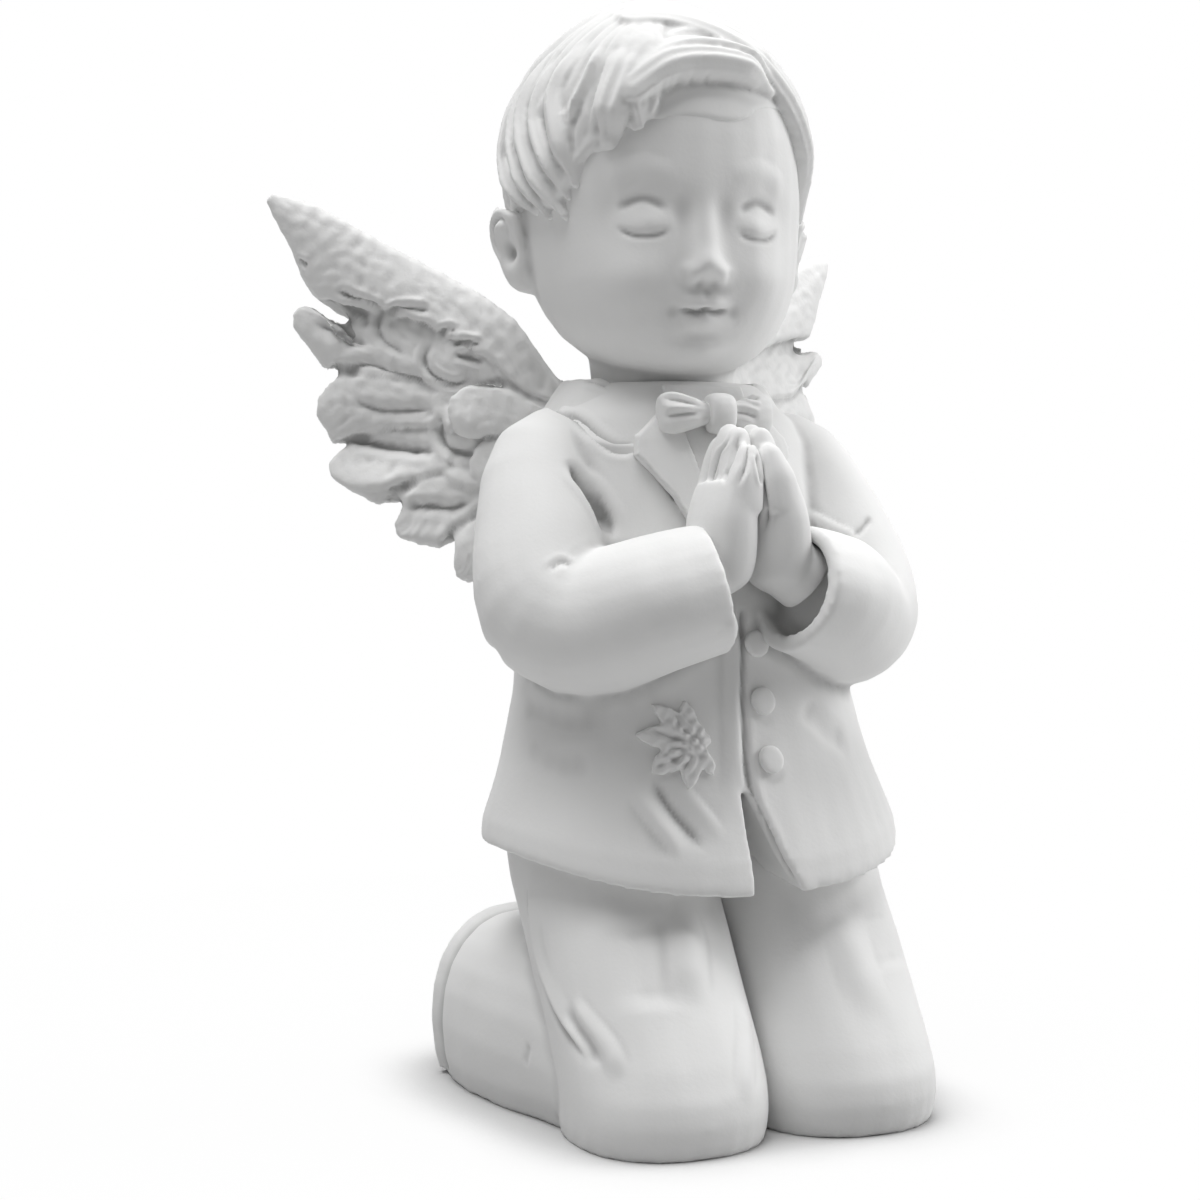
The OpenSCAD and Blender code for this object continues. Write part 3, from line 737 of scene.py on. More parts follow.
@dataclass
class Suit:
    """The jacket with its two sleeves, modelled as one skin of cloth."""

    voxel: float = 0.48
    hem_rise: Pair = (42.0, 46.0)
    cuffs: Point = (0.0, -17.0, 70.5)
    cuff_reach: Pair = (10.0, 15.0)
    humps: Humps = (12.0, 0.07, 8)
    folds: tuple[Stroke, ...] = (
        crease(((566, 458), (578, 474), (590, 492), (615, 539)), 1.6, 2.2, 0.08, 0.3),
        crease(((549, 573), (555, 565), (563, 562), (573, 566)), 0.8, 0.3, 0.3),
        crease(((543, 404), (561, 411), (576, 418), (599, 439), (613, 449), (626, 450), (638, 446)),
               1.0, 0.8, 0.1, 0.1),
        crease(((640, 450), (655, 468), (669, 486), (680, 502)), 1.0, 0.8, 0.1, 0.1),
        crease(((648, 774), (671, 809), (696, 838), (706, 856)), 2.2, 0.8, 0.35, 0.3),
        Stroke(((640, 790), (660, 822), (688, 852)), 2.0, -0.4, taper=0.4),
        Stroke(((735, 612), (734, 700), (735, 770), (736, 830)), 2.2, -0.4, taper=0.2),
        crease(((743, 605), (742, 700), (744, 737), (746, 765), (753, 798), (765, 826), (780, 857),
                (795, 882)), 0.9, 0.8, 0.1, 0.05),
        Stroke(((806, 512), (830, 526), (857, 538)), 1.2, -0.5),
        crease(((852, 536), (862, 528), (872, 516)), 1.0, 0.5),
        Stroke(((508, 700), (560, 722), (620, 715)), 3.0, 0.5),
        Stroke(((520, 740), (560, 762), (600, 760)), 3.5, 0.35),
        Stroke(((800, 700), (830, 730), (850, 745)), 3.0, 0.4),
    )
    back_folds: tuple[Stroke, ...] = (
        crease(((0, 22, 84), (0, 24, 66), (0, 22, 50), (0, 24, 36)), 1.0, 0.35, 0.2, 0.1),
        Stroke(((17, 18, 80), (14, 21, 70), (8, 22, 62)), 2.4, 0.6, lip=0.3, mirrored=True),
        Stroke(((20, 14, 70), (17, 18, 61), (12, 21, 56)), 2.2, 0.5, lip=0.3, mirrored=True),
        Stroke(((27, 4, 75), (24, 7, 69), (20, 8, 66)), 1.4, 0.5, lip=0.4, mirrored=True),
        Stroke(((30, -2, 64), (28, 2, 60), (22, 4, 58)), 1.6, 0.35, lip=0.4, mirrored=True),
    )

    def build(self) -> None:
        """Sculpts the jacket and the sleeves."""
        forms = solids("jacket", "right_sleeve", "left_sleeve", grow=0.12)
        suit = Clay.cast("suit", forms, self.voxel, 14)
        above_hem = smoothstep(*self.hem_rise, suit.points[:, 2])
        suit.melt(10, above_hem * self.away_from_cuffs(suit))
        suit.draw(self.folds)
        suit.draw(self.back_folds)
        suit.ripple(*self.humps)
        suit.finish(SMOOTH_RESIN, "jacket", "right_sleeve", "left_sleeve")

    def away_from_cuffs(self, suit: Clay) -> Array:
        """Weights that keep the thin rims of the cuffs out of the melting."""
        return smoothstep(*self.cuff_reach, np.linalg.norm(suit.points - np.array(self.cuffs), axis=1))


@dataclass
class Trims:
    """The cloth and trims that lie on the jacket."""

    cloth: tuple[str, ...] = ("shirt_front", "right_lapel", "left_lapel")
    cloth_humps: Humps = (5.0, 0.04, 6)
    rounded: tuple[tuple[str, int], ...] = (("bow_tie_knot", 8), ("jacket_buttons", 40))
    collar_tilt: float = 0.48
    collar_level: float = 4.0
    collar_fall: Pair = (-3.0, 0.4)
    collar_sink: float = 2.0
    collar_hem: Pair = (13.0, 18.0)
    collar_humps: Humps = (5.0, 0.05, 6)
    collar_fold: tuple[Stroke, ...] = (
        crease(((572, 378), (599, 383), (630, 396), (650, 410)), 0.8, 0.4, 0.3, 0.1),
    )
    veins: tuple[Stroke, ...] = tuple(crease(path, 0.6, 0.3, 0.4) for path in (
        ((690, 742), (668, 736), (646, 726)), ((690, 746), (664, 750), (636, 749)),
        ((690, 750), (670, 762), (648, 768)), ((694, 752), (684, 770), (672, 780)),
        ((690, 738), (680, 724), (674, 712))))
    leaf_humps: Humps = (1.8, 0.1, 12)
    bead: Point = (0.45, 0.8, 0.45)
    bead_height: float = 0.5
    blossom: tuple[Pixel, ...] = (
        (686, 735), (693, 731), (700, 734), (704, 741), (700, 748), (692, 750), (686, 744), (695, 741),
        (680, 727), (707, 752))
    tie_folds: tuple[Stroke, ...] = tuple(crease(path, 0.7, 0.4, 0.4) for path in (
        ((704, 407), (682, 401), (656, 397)), ((704, 411), (684, 414), (662, 417)),
        ((722, 404), (742, 398), (760, 398)), ((722, 412), (744, 413), (760, 419))))

    def build(self) -> None:
        """Sculpts the trims."""
        for name in self.cloth:
            trim = Clay.cast(name, solids(name, grow=0.18), 0.25, 8)
            trim.ripple(*self.cloth_humps)
            trim.finish(SMOOTH_RESIN, name)
        tie = Clay.cast("bow_tie", solids("bow_tie", grow=0.15), 0.2, 6)
        tie.draw(self.tie_folds)
        tie.finish(SMOOTH_RESIN, "bow_tie")
        for name, rounds in self.rounded:
            trim = Clay.cast(name, solids(name, grow=0.2), 0.2, 8)
            trim.melt(rounds)
            trim.finish(SMOOTH_RESIN, name)
        self.collar()
        self.sprig()

    def collar(self) -> None:
        """Sculpts the collar, which falls from the sides of the neck towards the bow tie."""
        collar = Clay.cast("collar", solids("collar", grow=0.35), 0.25, 8)
        height = collar.points[:, 2]
        top = smoothstep(height.min() + 1, height.max(), height)
        fall = self.collar_tilt * (collar.points[:, 1] - self.collar_level)
        collar.points[:, 2] += top * np.clip(fall, *self.collar_fall)
        away = np.hypot(collar.points[:, 0], collar.points[:, 1] - HEAD.chin[1])
        hem = smoothstep(*self.collar_hem, away)
        collar.points[:, 2] -= self.collar_sink * np.maximum((1 - top) ** 2, hem)
        collar.refresh()
        collar.melt(8)
        collar.draw(self.collar_fold)
        collar.ripple(*self.collar_humps)
        collar.finish(SMOOTH_RESIN, "collar")

    def sprig(self) -> None:
        """Sculpts the sprig of leaves: low relief, veined leaves and a blossom of little beads."""
        sprig = Clay.cast("leaf_sprig", solids("leaf_sprig", grow=0.05), 0.18, 4)
        sprig.melt(4)
        sprig.draw(self.veins)
        tree = sprig.tree()
        for pixel in self.blossom:
            spot = CAMERA.seen(tree, pixel)
            if spot is not None:
                sprig.swell(spot, self.bead, self.bead_height, -CAMERA.forward)
        sprig.refresh()
        sprig.ripple(*self.leaf_humps)
        sprig.finish(SMOOTH_RESIN, "leaf_sprig")


@dataclass
class Hands:
    """The two hands, palm to palm."""

    voxel: float = 0.22
    fingers: tuple[Stroke, ...] = (
        crease(((710, 482), (719, 456), (732, 432)), 0.6, 0.55, 0.2, 0.3),
        crease(((723, 487), (733, 460), (740, 432)), 0.6, 0.55, 0.2, 0.3),
        crease(((737, 489), (746, 464), (749, 438)), 0.6, 0.55, 0.2, 0.3),
        crease(((757, 453), (762, 481), (766, 512), (765, 534)), 0.7, 0.6, 0.2, 0.2),
    )

    def build(self) -> None:
        """Sculpts the hands."""
        for side in Side:
            name = f"{side.word}_hand"
            hand = Clay.cast(name, solids(name, grow=0.15), self.voxel, 8)
            hand.melt(28)
            hand.draw(self.fingers)
            hand.finish(SMOOTH_RESIN, name)


@dataclass(frozen=True)
class HeadFrame:
    """The head's own axes: chin at zero, face towards -Y, crown up."""

    chin: Point = (0.0, 11.5, 99.0)
    turn: float = -8.0

    @property
    def axes(self) -> Array:
        """The head's axes as rows."""
        a = math.radians(self.turn)
        return np.array(((math.cos(a), math.sin(a), 0), (-math.sin(a), math.cos(a), 0), (0, 0, 1)))

    def out(self, points: Iterable[Sequence[float]]) -> Array:
        """Points of the head as points of the figure."""
        return np.array(list(points), float) @ self.axes + np.array(self.chin)


HEAD = HeadFrame()


class Face:
    """The skin of the face, where a place is given across from the middle and up from the chin."""

    def __init__(self, clay: Clay) -> None:
        """Takes over the bare head."""
        self.clay = clay
        self.tree = clay.tree()

    def place(self, x: float, z: float) -> Array:
        """Finds the point of the skin at a place.

        Args:
            x: Place across, towards the figure's left.
            z: Height above the chin.

        Returns:
            The point.
        """
        ahead = 60.0
        start = HEAD.out([(x, -ahead, z)])[0]
        hit = self.tree.ray_cast(Vector(start), Vector(HEAD.axes[1]))[0]
        return HEAD.out([(x, float((np.array(hit) - start) @ HEAD.axes[1]) - ahead, z)])[0]

    def swell(self, x: float, z: float, across: float, up: float, amount: float, deep: float = 5.0) -> None:
        """Raises or presses a place, and the one on the other side of the face.

        Args:
            x: Place across; zero for one place in the middle.
            z: Height above the chin.
            across: Its reach across.
            up: Its reach up and down.
            amount: How far it is raised; under zero presses it in.
            deep: Its reach into the head.
        """
        for sign in (-1, 1) if x else (1,):
            self.clay.swell(self.place(sign * x, z), (across, deep, up), amount, -HEAD.axes[1], HEAD.axes)

    def line(self, points: Sequence[Pair], width: float, depth: float, profile: Profile) -> None:
        """Draws a line on both sides of the face, as one where it starts in the middle.

        Args:
            points: Places on the figure's left side.
            width: The line's width.
            depth: Its depth; under zero for a ridge.
            profile: Its cross-section.
        """
        if points[0][0] == 0:
            runs = [[(-x, z) for x, z in points[:0:-1]] + list(points)]
        else:
            runs = [[(sign * x, z) for x, z in points] for sign in (-1, 1)]
        for run in runs:
            path = tuple(tuple(self.place(x, z)) for x, z in run)
            self.clay.draw([Stroke(path, width, depth, profile)])


@dataclass
class Head:
    """The head with a calm sleeping child's face of the usual proportions, and the ears.

    The face's heights are shares of the head from chin to crown. Places on an ear are shares of its
    half width and half height; a hollow has its size and its depth too.
    """

    voxel: float = 0.36
    height: float = 48.0
    eye_line: float = 0.42
    nose_base: float = 0.245
    mouth_line: float = 0.165
    eye_apart: float = 8.0
    eye_width: float = 7.4
    humps: Humps = (9.0, 0.04, 5)
    ear_start: Pair = (19.0, 20.5)
    ear_top: float = 26.0
    ear_keep: float = 0.85
    ear_groove: tuple[Pair, ...] = (
        (-0.5, 0.42), (-0.1, 0.68), (0.35, 0.55), (0.55, 0.1), (0.4, -0.35))
    ear_hollows: tuple[tuple[float, float, float, float], ...] = (
        (-0.3, 0.0, 1.5, 1.3), (-0.4, -0.15, 1.0, 0.9), (-0.35, 0.4, 0.9, 0.5))

    def build(self) -> None:
        """Sculpts the head and the ears."""
        head = Clay.cast("head", solids("head", "right_ear", "left_ear", grow=0.12), self.voxel, 10)
        head.melt(12, self.away_from_ears(head))
        self.face(head)
        for side in Side:
            self.ear(head, side)
        head.ripple(*self.humps)
        head.finish(SMOOTH_RESIN, "head", "right_ear", "left_ear")

    def away_from_ears(self, head: Clay) -> Array:
        """Weights that keep the ears out of the melting."""
        local = (head.points - np.array(HEAD.chin)) @ HEAD.axes.T
        on_ear = smoothstep(*self.ear_start, abs(local[:, 0])) * (local[:, 2] < self.ear_top)
        return 1 - self.ear_keep * on_ear

    def face(self, head: Clay) -> None:
        """Models the features of the face.

        Args:
            head: The bare head.
        """
        skin = Face(head)
        eye = self.eye_line * self.height
        nose = self.nose_base * self.height
        mouth = self.mouth_line * self.height

        # Broad planes: cheeks, temples, brow and chin
        skin.swell(10.0, nose + 0.2, 5.5, 4.8, 1.6, 7.0)
        skin.swell(0, 2.4, 3.6, 2.6, 1.0)
        skin.swell(self.eye_apart, eye + 0.8, 4.6, 3.0, -1.3)
        skin.swell(2.9, eye + 0.6, 1.8, 3.0, -0.5)
        head.refresh()
        # Nose
        for share in np.linspace(0, 1, 6):
            height = eye + 1.0 - share * (eye - nose - 2.0)
            skin.swell(0, height, 1.9 + 0.5 * share, 2.0, 0.1 + 0.5 * share, 6.0)
        skin.swell(0, nose + 1.9, 2.3, 1.9, 1.7, 7.0)
        skin.swell(2.2, nose + 1.0, 1.35, 1.3, 1.0, 6.0)
        head.refresh()
        # Closed lids
        skin.swell(self.eye_apart, eye - 0.2, 3.5, 2.3, 1.6)
        head.refresh()
        half = self.eye_width / 2
        inner, outer = self.eye_apart - half, self.eye_apart + half
        skin.tree = head.tree()
        skin.line(((inner, eye - 1.2), (self.eye_apart - 1.6, eye - 2.2), (self.eye_apart + 1.4, eye - 2.3),
                   (outer, eye - 1.0)), 0.75, 0.6, Profile.CREASE)
        skin.line(((inner + 0.3, eye + 1.0), (self.eye_apart, eye + 2.6), (outer - 0.2, eye + 1.2)),
                  1.0, 0.35, Profile.SOFT)
        skin.line(((inner - 0.5, eye + 5.2), (self.eye_apart + 0.5, eye + 6.8), (outer + 1.5, eye + 4.8)),
                  2.2, -0.25, Profile.SOFT)
        # Under the nose
        skin.swell(0, (nose + mouth) / 2, 4.2, 2.2, 0.5)
        skin.swell(1.1, nose - 0.2, 0.6, 0.5, -0.35)
        skin.line(((2.6, nose + 0.2), (3.2, nose + 0.9), (3.3, nose + 1.8)), 0.8, 0.25, Profile.SOFT)
        # Mouth
        skin.swell(1.2, mouth + 1.1, 1.7, 0.95, 0.85)
        skin.swell(0, mouth - 1.2, 2.3, 1.1, 1.05)
        skin.swell(0, mouth - 3.4, 3.2, 1.1, -0.35)
        skin.swell(4.1, mouth + 0.2, 1.0, 1.0, -0.35)
        head.refresh()
        from_mouth = head.points - HEAD.out([(0, -18, mouth + 4)])[0]
        soft = np.exp(-((from_mouth / (12, 8, 12)) ** 2).sum(1))
        head.melt(5, 0.8 * soft)
        skin.tree = head.tree()
        skin.line(((0.0, mouth + 0.1), (1.3, mouth - 0.15), (2.6, mouth + 0.05), (3.8, mouth + 0.4)),
                  0.7, 0.85, Profile.CREASE)
        skin.swell(0, (nose + mouth) / 2 + 0.4, 0.6, 0.9, -0.2)

    def ear(self, head: Clay, side: Side) -> None:
        """Sculpts one ear: a rolled rim round a groove, and the hollow in front of it.

        Args:
            head: The head with its plain ears.
            side: The side that the ear is on.
        """
        form = solids(f"{side.word}_ear")
        corners = np.array([v.co for v in form.verts])
        form.free()
        middle = (corners.min(0) + corners.max(0)) / 2
        outward, back, up = HEAD.axes[0] * side.value, HEAD.axes[1], HEAD.axes[2]
        axes = np.array((unit(0.55 * outward + 0.83 * back), unit(0.83 * outward - 0.55 * back), up))
        wide, _, tall = abs((corners - middle) @ axes.T).max(0)

        def place(across: float, high: float) -> Array:
            """A point just off the ear."""
            return middle + axes[0] * across * wide + axes[2] * high * tall + axes[1] * 3.0

        rim = tuple(tuple(place(*p)) for p in self.ear_groove)
        head.draw([Stroke(rim, 0.9, 0.7, Profile.SOFT, 0.3)])
        tree = head.tree()
        for across, high, size, depth in self.ear_hollows:
            spot = tree.find_nearest(Vector(place(across, high)))[0]
            head.swell(spot, (size, 2.5, 1.25 * size), -depth, axes[1], axes)
        head.refresh()


@dataclass(frozen=True)
class Lock:
    """A lock of hair: its directions from the root to the tip, and its size in millimetres.

    Width is half the lock's width, height how far its crest stands off the skull, edge how much lower
    its sides lie, taper the share of the width that is lost at the tip, and root how much higher its
    root lies.
    """

    ways: Array
    width: float
    height: float
    edge: float
    strands: int = 3
    taper: float = 0.75
    root: float = 1.5


@dataclass
class Hair:
    """Combed hair with a side parting: a copy of the skull's skin that is raised lock by lock.

    Places on the head are pairs of degrees: round from the face towards the figure's left, and up from
    the level of the brow.
    """

    voxel: float = 0.33
    middle: Point = (0.0, 0.5, 27.0)
    neck_cut: float = 10.0
    under_skin: float = -3.5
    cap: float = 1.2
    brow_dip: float = 0.85
    crown_lift: float = 2.4
    fine_groove: float = 0.42
    seed: int = 11
    steps: int = 18
    side_locks: int = 19
    temple_share: float = 0.42
    left_start: float = 0.27
    parting: tuple[Degrees, ...] = ((-24, 38), (-30, 60), (-60, 80), (180, 66))
    right_ends: tuple[Degrees, ...] = (
        (-24, 12), (-33, 9), (-42, 2), (-49, -5), (-54, -14), (-62, -19), (-74, -16), (-100, -18),
        (-118, -30), (-138, -38), (-160, -42), (-180, -43))
    left_ends: tuple[Degrees, ...] = (
        (54, 18), (60, 2), (68, -10), (76, -20), (88, -12), (104, -22), (122, -32), (142, -39),
        (162, -42), (180, -43))
    brow: tuple[Degrees, ...] = ((-19, 11), (-8, 13), (14, 12), (30, 18))
    quiff: tuple[tuple[tuple[Degrees, ...], float, float], ...] = (
        (((-27, 27), (-17, 34), (-8, 37), (3, 38), (16, 37), (28, 34), (36, 30)), 2.1, 4.1),
        (((-25, 33), (-14, 40), (-3, 43), (11, 43), (26, 40), (40, 32)), 1.7, 3.9),
        (((-23, 42), (-11, 51), (5, 54), (23, 51), (40, 43), (52, 31)), 2.9, 3.3))
    temple: tuple[tuple[tuple[Degrees, ...], float, float, float], ...] = (
        (((-28, 43), (-32, 31), (-35, 20), (-37, 10)), 2.6, 3.6, 0.35),
        (((-24, 36), (-26, 23), (-24, 14)), 1.2, 2.4, 0.6),
        (((-43, 45), (-46, 31), (-49, 22), (-53, 14)), 0.8, 3.3, 0.5),
        (((-54, 49), (-60, 37), (-61, 26), (-56, 12), (-50, -6)), 1.6, 3.3, 0.6),
        (((-67, 48), (-72, 34), (-71, 20), (-62, 4), (-53, -11)), 1.5, 3.0, 0.7),
        (((-80, 50), (-83, 36), (-81, 21), (-69, 1), (-55, -17)), 1.7, 3.4, 0.6),
        (((-95, 50), (-96, 32), (-90, 15), (-78, -1), (-64, -17)), 1.6, 3.1, 0.7),
        (((-112, 50), (-110, 30), (-102, 12), (-88, -4), (-74, -14)), 1.8, 3.3, 0.6))

    def build(self) -> None:
        """Raises the locks on the skull and recasts it as one skin."""
        forms = solids("head")
        self.cut_neck(forms)
        skull = Clay.cast("skull", forms, self.voxel, 10)
        skull.melt(60)
        self.tree = skull.tree()
        height = self.cap_height(skull)
        for lock in self.locks():
            self.raise_lock(skull, height, lock)
        skull.points += skull.normals * height[:, None]
        hair = skull.recast("hair", self.voxel, 2)
        hair.finish(SMOOTH_RESIN, "hair")

    def cut_neck(self, forms: bmesh.types.BMesh) -> None:
        """Cuts the neck off and closes the cut.

        Args:
            forms: A copy of the head.
        """
        everything = [*forms.verts, *forms.edges, *forms.faces]
        level = HEAD.out([(0, 0, self.neck_cut)])[0]
        bmesh.ops.bisect_plane(forms, geom=everything, plane_co=level, plane_no=(0, 0, -1), clear_outer=True)
        bmesh.ops.holes_fill(forms, edges=[edge for edge in forms.edges if edge.is_boundary])

    def cap_height(self, skull: Clay) -> Array:
        """The height of the hair without its locks: a thin cap that dives under the skin at the hairline.

        Args:
            skull: The skull's skin.

        Returns:
            A height for each vertex.
        """
        away = (skull.points - HEAD.out([self.middle])[0]) @ HEAD.axes.T
        azimuth = np.degrees(np.arctan2(away[:, 0], -away[:, 1]))
        elevation = np.degrees(np.arctan2(away[:, 2], np.hypot(away[:, 0], away[:, 1])))
        rim = curve_through(sorted((*self.right_ends, *self.brow, *self.left_ends)))
        inside = smoothstep(0, 7, elevation - np.interp(azimuth, *rim.T))
        front = smoothstep(48, 34, abs(azimuth - 3)) * smoothstep(42, 32, elevation)
        cap = self.cap - self.brow_dip * front + self.crown_lift * smoothstep(48, 75, elevation)
        return self.under_skin + (cap - self.under_skin) * inside

    def raise_lock(self, skull: Clay, height: Array, lock: Lock) -> None:
        """Raises one lock where it stands above what is there.

        Args:
            skull: The skull's skin.
            height: The height at each vertex so far; it is changed.
            lock: The lock.
        """
        found, away, along, bank = skull.near(self.on_skull(lock.ways), lock.width)
        x = away / (lock.width * (1 - lock.taper * along**4))
        found, along, bank, x = (values[x < 1] for values in (found, along, bank, x))
        relief = 0.3 + 0.7 * smoothstep(0.0, 0.45, along)
        crest = lock.height * (1 - 0.6 * smoothstep(0.72, 1.0, along))
        crest += lock.root * (1 - smoothstep(0.0, 0.55 if lock.root > 0 else 0.3, along))
        sides = lock.edge * relief * (1 - np.sqrt(1 - x**2))
        strands = self.fine_groove * relief * (0.5 - 0.5 * np.cos(math.pi * lock.strands * (bank * x + 1)))
        height[found] = np.maximum(height[found], crest - sides - strands)

    def way(self, place: Sequence[float]) -> Array:
        """Turns a place on the head into a direction.

        Args:
            place: Degrees round and up.

        Returns:
            The direction, in the figure's axes.
        """
        a, e = math.radians(place[0]), math.radians(place[1])
        local = (math.sin(a) * math.cos(e), -math.cos(a) * math.cos(e), math.sin(e))
        return np.array(local) @ HEAD.axes

    def on_skull(self, ways: Array) -> Array:
        """Finds points of the skull.

        Args:
            ways: Directions from the middle of the head.

        Returns:
            A point for each.
        """
        far = 60.0
        centre = HEAD.out([self.middle])[0]
        return np.array([self.tree.ray_cast(Vector(centre + way * far), Vector(-way))[0] for way in ways])

    def resample(self, row: Array) -> Array:
        """Spaces a row of directions evenly.

        Args:
            row: The directions.

        Returns:
            As many directions as a lock has steps.
        """
        length = np.concatenate([[0], np.cumsum(np.linalg.norm(np.diff(row, axis=0), axis=1))])
        even = np.linspace(0, length[-1], self.steps)
        return unit(np.stack([np.interp(even, length, column) for column in row.T], 1))

    def locks(self) -> Iterable[Lock]:
        """Chooses the locks: both sides from the parting to the hairline, the quiff and the temple.

        Returns:
            The locks, one after the other.
        """
        rng = np.random.default_rng(self.seed)
        t = np.linspace(0, 1, self.steps)[:, None]
        roots = self.resample(curve_through([self.way(p) for p in self.parting], 8))
        for ends in (self.right_ends, self.left_ends):
            tips = self.resample(curve_through([self.way(p) for p in ends], 8))
            count = self.side_locks
            shares = (np.arange(count) + 0.5 + rng.uniform(-0.2, 0.2, count)) / count
            if ends is self.left_ends:
                shares = self.left_start + (1 - self.left_start) * shares
            for share in shares:
                root, tip = self.pick(roots, share), self.pick(tips, share)
                sway = np.cross(root, tip) * rng.uniform(-0.12, 0.12) * np.sin(math.pi * t)
                under = ends is self.right_ends and share < self.temple_share
                end = rng.uniform(0.82, 0.9) if under else rng.uniform(0.9, 1.03)
                height = rng.uniform(1.7, 2.1) if under else rng.uniform(2.4, 3.2)
                yield Lock(unit(root * (1 - t * end) + tip * t * end + sway), rng.uniform(2.2, 3.2),
                           height, 0.6 * height)
        for path, width, height in self.quiff:
            yield self.along(path, width, height, 0.75)
        for path, width, height, taper in self.temple:
            yield self.along(path, width, height, taper)

    def along(self, path: Iterable[Degrees], width: float, height: float, taper: float) -> Lock:
        """A lock along some places of the head, with the sizes that it has."""
        ways = self.resample(curve_through([self.way(p) for p in path], 8))
        return Lock(ways, width, height, 0.55 * height, 2 if width < 2 else 3, taper, -0.6)

    @staticmethod
    def pick(row: Array, share: float) -> Array:
        """Picks a direction from a row.

        Args:
            row: The directions.
            share: How far along it, from 0 to 1.

        Returns:
            The direction there.
        """
        place = share * (len(row) - 1)
        low = min(int(place), len(row) - 2)
        return unit(row[low] + (row[low + 1] - row[low]) * (place - low))


@dataclass(frozen=True)
class Feather:
    """A feather in the plane of a wing, as [out, height] of its foot and its tip, with its width."""

    foot: Pixel
    tip: Pixel
    width: float
    back: float

    def middle(self, shares: Array) -> Array:
        """Finds points of the feather's quill.

        Args:
            shares: How far along it each lies, from 0 to 1.

        Returns:
            Their places, each as out from the root, back from the face and height.
        """
        foot, tip = np.array(self.foot), np.array(self.tip)
        d = tip - foot
        side = unit(np.array((-d[1], d[0])))
        bow = 0.25 * np.linalg.norm(d)
        flat = foot + np.outer(shares, d) + np.outer(bow * shares * (1 - shares), side)
        return np.stack([flat[:, 0], self.back - 3 * shares, flat[:, 1]], 1)


